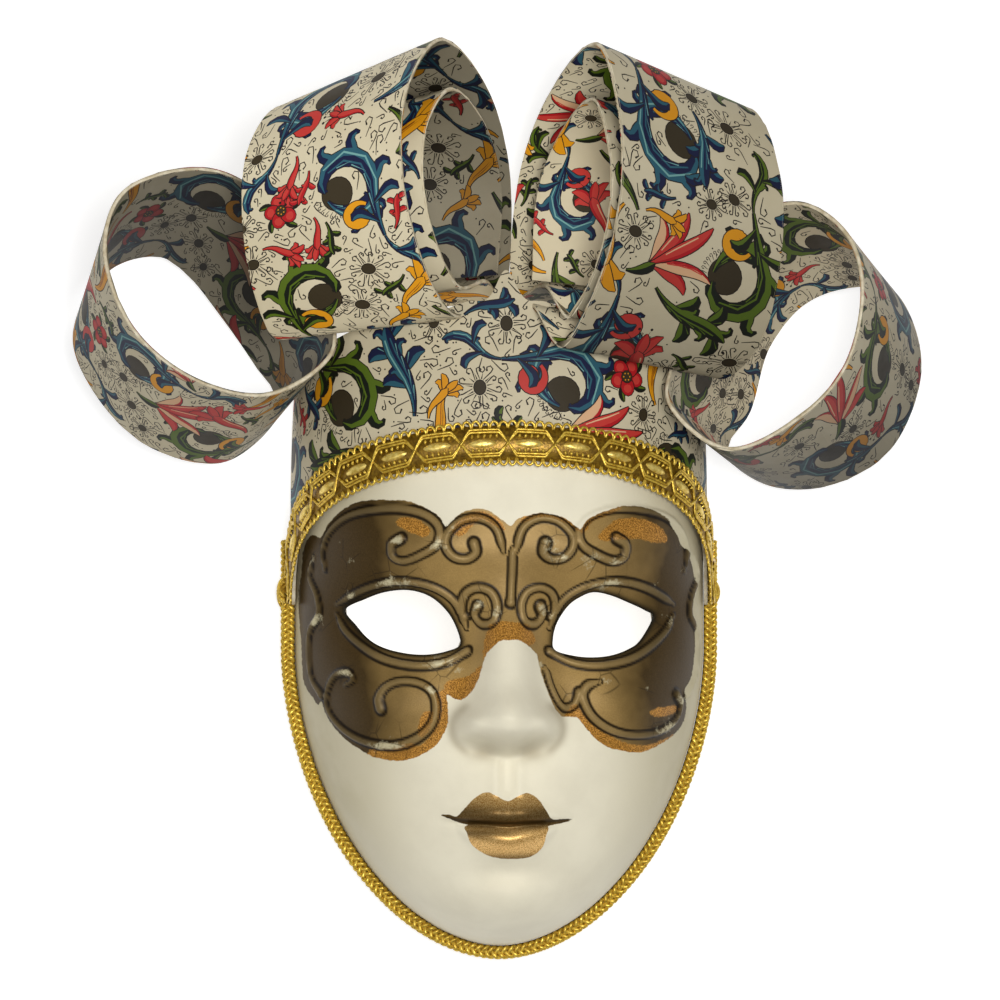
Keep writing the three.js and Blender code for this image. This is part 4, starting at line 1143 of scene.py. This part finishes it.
def thinned(pr, start, every):
    """The print's shapes, with only one in so many loose hooks kept beyond start."""
    loose = enumerate(pr.shapes[pr.loose:])
    return pr.shapes[:pr.loose] + [shape for i, shape in loose if i % every == 0 or shape[1][0, 0] < start]


def triangulate(polygons, width, length, chunks, limits=()):
    """Flat triangles with an ink each, cut into chunks along the length, with rulings across for bending."""
    boxes = [(p[:, 0].min(), p[:, 0].max(), p[:, 1].min(), p[:, 1].max()) for _, p in polygons]
    verts_all, tris_all, inks_all = [], [], []
    base = 0
    for c in range(chunks):
        lo, hi = length * c / chunks, length * (c + 1) / chunks
        verts = [Vector((lo, 0)), Vector((hi, 0)), Vector((hi, width)), Vector((lo, width))]
        edges = [(0, 1), (1, 2), (2, 3), (3, 0)]
        here = []
        for k, (x0, x1, y0, y1) in enumerate(boxes):
            if x1 < lo or x0 > hi or y1 < 0 or y0 > width:
                continue
            here.append(k)
            points = polygons[k][1]
            first = len(verts)
            n = len(points)
            verts.extend(Vector(p) for p in points)
            nxt = np.roll(points, -1, axis=0)
            for i in range(n):
                if max(points[i, 0], nxt[i, 0]) >= lo - 0.01 and min(points[i, 0], nxt[i, 0]) <= hi + 0.01:
                    edges.append((first + i, first + (i + 1) % n))
        count = max(1, round((hi - lo) / RULING))
        for k in range(1, count):
            x = lo + (hi - lo) * k / count
            first = len(verts)
            verts.extend([Vector((x, 0)), Vector((x, width))])
            edges.append((first, first + 1))
        for limit in limits:
            xs = np.linspace(lo, hi, 40)
            first = len(verts)
            verts.extend(Vector((x, y)) for x, y in zip(xs, limit(xs)))
            edges.extend((first + k, first + k + 1) for k in range(39))
        v, _, f, _, _, _ = geometry.delaunay_2d_cdt(verts, edges, [], 0, 1e-5, False)
        v = np.array([(p[0], p[1]) for p in v])
        f = np.array(f)
        centre = v[f].mean(1)
        keep = (centre[:, 0] > lo) & (centre[:, 0] < hi) & (centre[:, 1] > 0) & (centre[:, 1] < width)
        if limits:
            keep &= (centre[:, 1] > limits[0](centre[:, 0])) & (centre[:, 1] < limits[1](centre[:, 0]))
        f, centre = f[keep], centre[keep]
        owner = np.zeros(len(f), int)
        for k in here:
            x0, x1, y0, y1 = boxes[k]
            near = np.nonzero((centre[:, 0] > x0) & (centre[:, 0] < x1) & (centre[:, 1] > y0)
                              & (centre[:, 1] < y1))[0]
            if len(near):
                owner[near[inside(polygons[k][1], centre[near])]] = polygons[k][0]
        verts_all.append(v)
        tris_all.append(f + base)
        inks_all.append(owner)
        base += len(v)
    v = np.concatenate(verts_all)
    f = np.concatenate(tris_all)
    ink = np.concatenate(inks_all)
    key = np.round(v * 2000).astype(np.int64)
    _, first, back = np.unique(key, axis=0, return_index=True, return_inverse=True)
    f = back.reshape(-1)[f]
    v = v[first]
    good = (f != np.roll(f, 1, axis=1)).all(1)
    f, ink = f[good], ink[good]
    used, f = np.unique(f, return_inverse=True)
    return v[used], f.reshape(-1, 3), ink


# Loops of card strip: rows of the near edge's x, y, z, then the far edge's, as in the source of the solids

UPPER_LEFT = [(-5, 68, 38, -63, 62, 52), (-19, 65, 66, -80, 57, 54), (-30, 82, 85, -88, 71, 64),
              (-38, 113, 98, -93, 100, 73), (-37, 141, 97, -91, 122, 74), (-24, 161, 73, -80, 137, 62),
              (-5, 143, 37, -62, 131, 48), (3, 113, 20, -51, 106, 40), (1, 71, 22, -50, 67, 45)]
UPPER_RIGHT = [(6, 69, 38, 58, 62, 52), (10, 67, 62, 67, 55, 53), (18, 54, 71, 75, 43, 53),
               (29, 72, 86, 88, 54, 63), (37, 100, 97, 95, 83, 73), (38, 130, 99, 95, 112, 75),
               (31, 159, 82, 86, 136, 64), (15, 141, 42, 68, 130, 48), (6, 112, 22, 55, 105, 40),
               (4, 72, 22, 53, 67, 44)]
LOWER_LEFT = [(-62, 50, 55, -77, 34, 3), (-84, 37, 64, -97, 14, 14), (-111, 43, 71, -125, 20, 21),
              (-132, 61, 73, -144, 40, 24), (-141, 88, 70, -150, 58, 22), (-134, 108, 64, -138, 81, 15),
              (-107, 116, 56, -120, 86, 10), (-88, 109, 50, -110, 80, 6), (-66, 86, 43, -97, 64, 4),
              (-60, 64, 44, -85, 47, 2)]
LOWER_RIGHT = [(57, 34, 58, 80, 18, 4), (77, 18, 63, 94, 6, 11), (102, 29, 70, 117, 6, 19),
               (118, 47, 73, 137, 19, 26), (124, 74, 71, 147, 48, 27), (119, 93, 65, 137, 74, 14),
               (103, 104, 57, 122, 75, 11), (81, 97, 50, 107, 69, 7), (66, 74, 43, 95, 54, 4),
               (60, 52, 46, 88, 31, 3)]
STRIP_THICKNESS, STRIP_WIDTH, SPAN_POINTS = 1.4, 65.0, 30
SECOND_TURN_SCALE, SECOND_TURN_SHIFT = 0.72, (2, -2, 2, -2, 0, 2)
FIRST_TURN = 0.58  # share of the strip in the first turn
PAPER_LIP = 0.04  # how far cut edges stand over the print


def centripetal(points, closed):
    """A centripetal Catmull-Rom curve through points, SPAN_POINTS in each span."""
    q = with_neighbours(np.asarray(points, float), closed)
    out = []
    for i in range(len(q) - 3):
        a, b, c, d = q[i:i + 4]
        e, f, g = (max(float(np.linalg.norm(v)) ** 0.5, 1e-4) for v in (b - a, c - b, d - c))
        start = ((b - a) / e - (c - a) / (e + f) + (c - b) / f) * f
        end = ((c - b) / f - (d - b) / (f + g) + (d - c) / g) * f
        t = np.linspace(0, 1, SPAN_POINTS, endpoint=False)[:, None]
        out.append(b + start * t + (3 * (c - b) - 2 * start - end) * t ** 2
                   + (2 * (b - c) + start + end) * t ** 3)
    out.append(q[-2:-1])
    return np.concatenate(out)


def strip_table(knots, closed):
    """The strip's near edge, far edge and their normals, and the paper's run along it."""
    knots = np.asarray(knots, float)
    near, far = centripetal(knots[:, :3], closed), centripetal(knots[:, 3:], closed)
    across = far - near
    normals = []
    for edge in (near, far):
        if closed:
            along = np.roll(edge[:-1], -1, 0) - np.roll(edge[:-1], 1, 0)
            along = np.concatenate([along, along[:1]])
        else:
            along = np.gradient(edge, axis=0)
        normals.append(unit(np.cross(along, across)))
    width = np.linalg.norm(across, axis=1)
    step = np.linalg.norm(np.diff((near + far) / 2, axis=0), axis=1)
    step = step * STRIP_WIDTH / ((width[1:] + width[:-1]) / 2)
    run = np.concatenate([[0], np.cumsum(step)])
    return {"near": near, "far": far, "near_n": normals[0], "far_n": normals[1], "run": run}


def look_up(table, key, u):
    """A row of the table at the distances u along its run."""
    return np.stack([np.interp(u, table["run"], table[key][:, k]) for k in range(3)], -1)


def strip_point(table, u, v, side, height):
    """Points and normals at u along the strip and v across it, a height above one of its sides."""
    v = np.asarray(v)[..., None]
    normal = unit(look_up(table, "near_n", u) * (1 - v) + look_up(table, "far_n", u) * v) * side
    return look_up(table, "near", u) * (1 - v) + look_up(table, "far", u) * v + normal * height, normal


def bake_layout(mesh, flat, faces, rows_of):
    """The sheet's own flat layout as the UV map OFBake, in rows."""
    span, rows, width = rows_of
    row = np.minimum((flat[faces].mean(1)[:, 0] / span).astype(int), rows - 1)
    uv = flat[faces].copy()
    uv[:, :, 0] -= (row * span)[:, None]
    uv[:, :, 1] += (row * (width + 1))[:, None]
    size = max(span, rows * (width + 1)) + 1
    layer = mesh.uv_layers.new(name="OFBake")
    layer.data.foreach_set("uv", ((uv + 0.5) / size).astype(np.float32).ravel())


def paper_piece(name, node, points, normals, faces, inks, flat, rows_of, shade):
    colours = np.array([linear(*rgb) for rgb in INKS.values()])[inks]
    colours[:, :3] *= np.reshape(shade, (-1, 1))
    piece = new_mesh(name, points, faces, node, PAPER, normals)
    ink = piece.data.color_attributes.new("ink", "FLOAT_COLOR", "CORNER")
    ink.data.foreach_set("color", np.repeat(colours, 3, axis=0).astype(np.float32).ravel())
    bake_layout(piece.data, flat, faces, rows_of)
    return piece


def build_loop(node, knots, closed, seed, tone):
    """A strip's printed outside and inside and its cut edges; the last argument darkens the print on its
    outside and on its inside as painted shade.
    """
    table = strip_table(knots, closed)
    length = table["run"][-1]
    chunks = max(1, round(length / CHUNK))
    sheet = strip_print(seed, length, STRIP_WIDTH)
    per_row = math.ceil(chunks / 3)
    rows_of = (per_row * length / chunks, 3, STRIP_WIDTH)
    hidden_from = length if closed else length * FIRST_TURN
    for side, label, dense, every in ((1, "outer", hidden_from, 12), (-1, "inner", 0, 3)):
        flat, faces, inks = triangulate(thinned(sheet, dense, every), STRIP_WIDTH, length, chunks)
        u = flat[:, 0] if side > 0 else length - flat[:, 0]
        points, normals = strip_point(table, u, flat[:, 1] / STRIP_WIDTH, side, STRIP_THICKNESS / 2)
        # painted shade: the inside is darker still the lower it lies and the more it faces downwards
        depth = ramp(15, 90, points[faces].mean(1)[:, 2])
        hanging = np.clip(-normals[faces].mean(1)[:, 1], 0, 1)
        shade = tone[0] if side > 0 else tone[1] * (0.5 + 0.5 * depth) * (1 - 0.35 * hanging)
        paper_piece(f"{node}_{label}", node, points, normals, faces, inks, flat, rows_of, shade)
    edges = Parts()
    u = np.linspace(0, length, int(length / 1.2))
    bulge = [(1, 0.5), (0.6, 0.1), (0, -0.1), (-0.6, 0.1), (-1, 0.5)]
    for end, sign in ((0.0, 1), (1.0, -1)):
        rows = []
        for height, inward in bulge:
            v = np.full(len(u), end + sign * inward / STRIP_WIDTH)
            lift = STRIP_THICKNESS / 2 * height + (PAPER_LIP if abs(height) == 1 else 0) * np.sign(height)
            rows.append(strip_point(table, u, v, 1, lift)[0])
        edges.grid(np.stack(rows, 1)[:, ::-sign])
    if not closed:
        v = np.linspace(0, 1, 20)
        for at, sign in ((0.0, 1), (length, -1)):
            rows = [strip_point(table, np.full(20, at), v, 1, STRIP_THICKNESS / 2 * h)[0] for h in (-1, 1)]
            edges.grid(np.stack(rows, 1)[:, ::sign])
    edges.piece(f"{node}_edge", node, "printed_paper", CARD)


# Cap and braids lie on the plain face without its features, by an angle across it and by y

BAND_END_Y, BAND_RISE, BAND_SQUARENESS = -36.4, 56.0, 0.45
BAND_END_ANGLE = math.radians(6)
GAP, CAP_THICKNESS, CAP_TUCK, CAP_EDGE_LIP = 0.35, 1.2, 4.0, 0.03
# the last of these darkens the cap's whole print as painted shade
CAP_SHEET_WIDTH, CAP_SHEET_TOP, CAP_CHUNKS, CAP_COLUMNS, CAP_PAINTED_SHADE = 108.0, 80.0, 12, 1200, 0.77
LINK_LENGTH, GROUND_HALF_WIDTH, CORD_STEP, EDGE_LOOP_PITCH = 16, 6.2, 0.62, 3.1
CORD_OFFSETS = (4.7, 3.75)  # of each pair of crossing cords from the wide braid's middle
RIM_TOP_Y, RIM_STEP = -14, 0.58
RIM_CORDS = [  # strands, distance from the rim, height, swing, pitch and radius
    (3, 2.4, 6.2, 1.75, 6.6, 0.78), (2, 3.6, 2.6, 0.8, 4.6, 0.6)]


def body_point(angle, y):
    side = np.cos(angle)
    return np.stack([side * half_width(y), y, body_height(side, y)], -1)


def body_normal(angle, y):
    step = 1e-3
    across = body_point(angle - step, y) - body_point(angle + step, y)
    up = body_point(angle, y + step) - body_point(angle, y - step)
    return unit(np.cross(across, up))


def band_y(angle):
    end = math.sin(BAND_END_ANGLE)
    return BAND_END_Y + BAND_RISE * np.clip((np.sin(angle) - end) / (1 - end), 0, 1) ** BAND_SQUARENESS


def angles_across(end, count):
    """Angles from the left side of the face to the right, closer together at the sides."""
    t = np.linspace(0, 1, count)
    angle = end + (math.pi / 2 - end) * (1 - np.abs(1 - 2 * t)) ** 2.2
    return np.where(t < 0.5, math.pi - angle, angle)


def cap_top(angle):
    """The paper's upper edge: it is turned up against the loops, with a tongue between them."""
    x = FACE_HALF_WIDTH * np.cos(angle)
    return top_edge(x) + 4.3 * ramp(70, 48, np.abs(x)) + 13 * bell(x, 5) + 2.8 * bell(np.abs(x) - 13, 8)


def build_cap():
    """The printed sheet over the forehead, laid flat by its run across the face and y, and its hem."""
    angle = np.linspace(math.pi - math.radians(1.5), math.radians(1.5), CAP_COLUMNS)
    run = run_along(body_point(angle, np.full(CAP_COLUMNS, 30.0)))
    length, width = run[-1], CAP_SHEET_WIDTH
    start = CAP_SHEET_TOP - width
    low, high = band_y(angle) - CAP_TUCK * np.sin(angle), cap_top(angle)
    limits = (lambda x: np.interp(x, run, low) - start, lambda x: np.interp(x, run, high) - start)
    shapes = strip_print(41, length, width, limits).shapes
    flat, faces, inks = triangulate(shapes, width, length, CAP_CHUNKS, limits)
    at = np.interp(flat[:, 0], run, angle)
    y = flat[:, 1] + start
    normals = body_normal(at, y)
    points = body_point(at, y) + normals * (GAP + CAP_THICKNESS)
    paper_piece("cap_paper", "cap", points, normals, faces, inks, flat, (length / 2, 2, width), CAP_PAINTED_SHADE)
    hem = Parts()
    ends = [(np.full(40, angle[i]), np.linspace(low[i], high[i], 40)) for i in (0, -1)]
    for a, edge in [(angle, high), (angle, low)] + ends:
        n, base = body_normal(a, edge), body_point(a, edge)
        hem.grid(np.stack([base + n * h for h in (GAP, GAP + CAP_THICKNESS + CAP_EDGE_LIP)], 1))
    hem.piece("cap_hem", "cap", "printed_paper", CARD)


def band_frame():
    """The wide braid's middle line, across direction and normal, by the run along it."""
    angle = angles_across(BAND_END_ANGLE, 801)
    normal = body_normal(angle, band_y(angle))
    point = body_point(angle, band_y(angle)) + normal * (2 * GAP + CAP_THICKNESS + 0.5)
    along = unit(np.gradient(point, axis=0))
    across = unit(np.cross(normal, along))
    run = run_along(point)
    return {"run": run, "point": point, "across": across, "normal": normal}


def band_place(frame_of, run, across, height):
    """Points on the wide braid, and its normals there."""
    base, side, normal = (look_up(frame_of, key, run) for key in ("point", "across", "normal"))
    across, height = (np.asarray(distance)[..., None] for distance in (across, height))
    return base + side * across + normal * height, normal


def build_wide_braid():
    """Two pairs of cords that cross between links of a satin pad and stitches, on a woven ground with looped
    edges; the ground is darker gold as painted shade."""
    band_of = band_frame()
    length = band_of["run"][-1]
    links = round(length / LINK_LENGTH)
    pitch = length / links
    ground, half = Parts(), GROUND_HALF_WIDTH
    s = np.linspace(0, length, 400)
    # the woven ground, darker gold as painted shade under the cords
    rows = [band_place(band_of, s, np.full(400, c), np.full(400, h))[0]
            for c, h in ((-half, 0), (-half, 0.4), (0, 0.6), (half, 0.4), (half, 0), (-half, 0))]
    ground.grid(np.stack(rows, 1))
    ground.piece("braid_forehead_ground", "braid_forehead", "gold_gimp", SHADE)
    cords = Parts()
    phase = np.linspace(0, length, int(length / CORD_STEP))
    octagon = np.clip(1.75 * np.sin(np.pi * phase / pitch), -1, 1)
    for sign in (1, -1):
        for offset in CORD_OFFSETS:
            c = sign * octagon * offset
            h = 1.25 + 0.35 * sign * np.cos(np.pi * phase / pitch)
            path, normal = band_place(band_of, phase, c, h)
            tube(cords, path, normal, 0.42, 0.45)
    cords.piece("braid_forehead_cords", "braid_forehead", "gold_gimp", GOLD)
    # a satin pad and ten stitches in each link
    beads, pads = Parts(), Parts()
    rng = random.Random(8)
    for i in range(links):
        middle = (i + 0.5) * pitch
        a = np.linspace(0, 2 * np.pi, 24)
        r = np.linspace(0, 1, 6)[:, None]
        s = middle + rng.uniform(-0.8, 0.8) + r * 4.9 * np.cos(a) * (1 - 0.1 * np.abs(np.sin(a)))
        c = r * 1.55 * np.sin(a) + rng.uniform(-0.25, 0.25)
        place, _ = band_place(band_of, s.ravel(), c.ravel(), (0.6 + 0.8 * (1 - (r + 0 * a) ** 4)).ravel())
        pads.grid(place.reshape(6, 24, 3)[:, ::-1])
        for k in range(5):
            for side in (1, -1):
                s = middle + (k - 2) * 2.1 + np.linspace(-0.25, 0.25, 4)
                c = side * np.linspace(1.7, 3.3, 4)
                path, normal = band_place(band_of, s, c, 0.8 + 0.5 * np.sin(np.linspace(0, np.pi, 4)))
                tube(beads, path, normal, 0.52, 0.5)
    # looped edges, and at each end loose threads
    for side in (1, -1):
        count = round(length / EDGE_LOOP_PITCH)
        for i in range(count):
            middle = (i + 0.5) * length / count
            a = np.linspace(-0.3, math.pi + 0.3, 9)
            s = middle + 1.35 * np.cos(a)
            c = side * (5.6 + 2.1 * np.sin(a) * rng.uniform(0.85, 1.1))
            path, normal = band_place(band_of, s, c, np.full(9, 0.6))
            tube(beads, path, normal, 0.5, 0.5, 5)
        for k in range(4):
            a = np.linspace(-1.5, 1.5, 12)
            reach, drop = rng.uniform(1.5, 4.5), rng.uniform(3, 6)
            x, y, z = side * (74 + reach * np.cos(a)), -30.5 + drop * np.sin(a) - k, 9 - k * 1.4 + a
            tube(beads, np.column_stack([x, y, z]), np.tile([0, 0, 1.0], (12, 1)), 0.55, 0.55)
    beads.piece("braid_forehead_stitches", "braid_forehead", "gold_gimp", GOLD)
    pads.piece("braid_forehead_pads", "braid_forehead", "gold_gimp", SATIN)


def build_rim_braid():
    """Three gold cords plaited round the rim over a twist of two thinner ones, on a dark gold strip that is
    painted shade.
    """
    angle = np.linspace(0, np.pi, 1200)
    y = JAW_TOP_Y - JAW_HEIGHT * np.sin(angle)
    x = -np.sign(np.cos(angle)) * half_width(y)
    side = np.linspace(RIM_TOP_Y, JAW_TOP_Y, 52)[:-1]
    line = np.concatenate([np.column_stack([-half_width(side), side]), np.column_stack([x, y]),
                           np.column_stack([half_width(side), side])[::-1]])
    run = run_along(line)
    cords, ground = Parts(), Parts()
    want = np.arange(0, run[-1], RIM_STEP)
    place = np.column_stack([np.interp(want, run, line[:, k]) for k in range(2)])
    along = unit(np.gradient(place, axis=0))
    out = np.column_stack([along[:, 1], -along[:, 0]])
    out *= np.sign((out * (place - [0, JAW_TOP_Y])).sum(1))[:, None]  # away from the face
    above = np.tile([0, 0, 1.0], (len(want), 1))
    for strands, middle, z, reach, pitch, radius in RIM_CORDS:
        for strand in range(strands):
            a = want * 2 * np.pi / pitch + strand * 2 * np.pi / strands
            swing = out * (middle + reach * np.sin(a))[:, None]
            path = np.column_stack([place + swing, z + 0.5 * np.sin(2 * a)])
            tube(cords, path, above, radius, radius * 0.9)
    # a dark strip under the cords: painted shade in the gaps between them
    tube(ground, np.column_stack([place + out * 2.3, np.full(len(want), 5.0)])[::3], above[::3], 2.3, 0.8)
    ground.piece("braid_rim_ground", "braid_rim", "gold_gimp", SHADE)
    cords.piece("braid_rim_cords", "braid_rim", "gold_gimp", GOLD)


def two_turns(knots):
    """The knots of one turn, and after them those of a smaller one."""
    first = np.asarray(knots, float)
    middle = first.mean(0)
    return np.concatenate([first, middle + (first - middle) * SECOND_TURN_SCALE + SECOND_TURN_SHIFT])


build_face()
# the last pair of numbers darkens each loop's print outside and inside as painted shade
build_loop("loop_upper_left", two_turns(UPPER_LEFT), False, 11, (0.95, 0.6))
build_loop("loop_upper_right", two_turns(UPPER_RIGHT), False, 12, (0.98, 0.64))
build_loop("loop_lower_left", LOWER_LEFT, True, 13, (0.6, 0.6))
build_loop("loop_lower_right", LOWER_RIGHT, True, 14, (0.68, 0.62))
build_cap()
build_wide_braid()
build_rim_braid()


# Floor, light and camera

FLOOR_HALF_SIZE, LIGHT_AIM = 4.0, (0, 0, 0.05)
CAMERA_DISTANCE, CAMERA_TILT, CAMERA_VIEW, CAMERA_SHIFT = 10.0, math.radians(2.7), 0.35, 0.000525
SHARP_HEIGHT = 0.06  # the photograph's middle is met at this height


def floor():
    mesh = bpy.data.meshes.new("floor")
    corners = [(x * FLOOR_HALF_SIZE, y * FLOOR_HALF_SIZE, 0) for x, y in ((-1, -1), (1, -1), (1, 1), (-1, 1))]
    mesh.from_pydata(corners, [], [(0, 1, 2, 3)])
    m = Nodes("floor_paint")
    m.set(Base_Color=(0.5, 0.5, 0.5, 1), Roughness=0.9, Emission_Color=(1, 1, 1, 1), Emission_Strength=0.72)
    mesh.materials.append(m.material)
    new_object("floor", mesh)


def softbox(name, place, size, power):
    lamp = bpy.data.lights.new(name, "AREA")
    lamp.shape, lamp.size, lamp.energy = "SQUARE", size, power
    lit = new_object(name, lamp)
    lit.location = place
    lit.rotation_euler = (Vector(LIGHT_AIM) - Vector(place)).to_track_quat("-Z", "Y").to_euler()


def camera():
    back = Vector((-math.sin(CAMERA_TILT), 0, math.cos(CAMERA_TILT)))
    up = Vector((0, 1, 0))
    target = Vector(SHIFT * MM) + Vector((CAMERA_SHIFT, 0, 0)) + back * (SHARP_HEIGHT / math.cos(CAMERA_TILT))
    data = bpy.data.cameras.new("camera")
    data.sensor_width, data.lens = 36, 36 * CAMERA_DISTANCE / CAMERA_VIEW
    data.clip_start, data.clip_end = 0.1, 50
    shot = new_object("camera", data)
    rotation = Matrix((up.cross(back), up, back)).transposed().to_4x4()
    shot.matrix_world = Matrix.Translation(target + back * CAMERA_DISTANCE) @ rotation
    bpy.context.scene.camera = shot


floor()
softbox("key", (0.15, 0.1, 2.0), 0.7, 29)
softbox("fill", (-0.9, -0.3, 1.4), 1.0, 3)
world = bpy.data.worlds.new("studio")
world.use_nodes = True
background = world.node_tree.nodes["Background"]
background.inputs[0].default_value = (1, 1, 1, 1)
background.inputs[1].default_value = 0.16
bpy.context.scene.world = world
bpy.context.scene.view_settings.view_transform = "Standard"
camera()
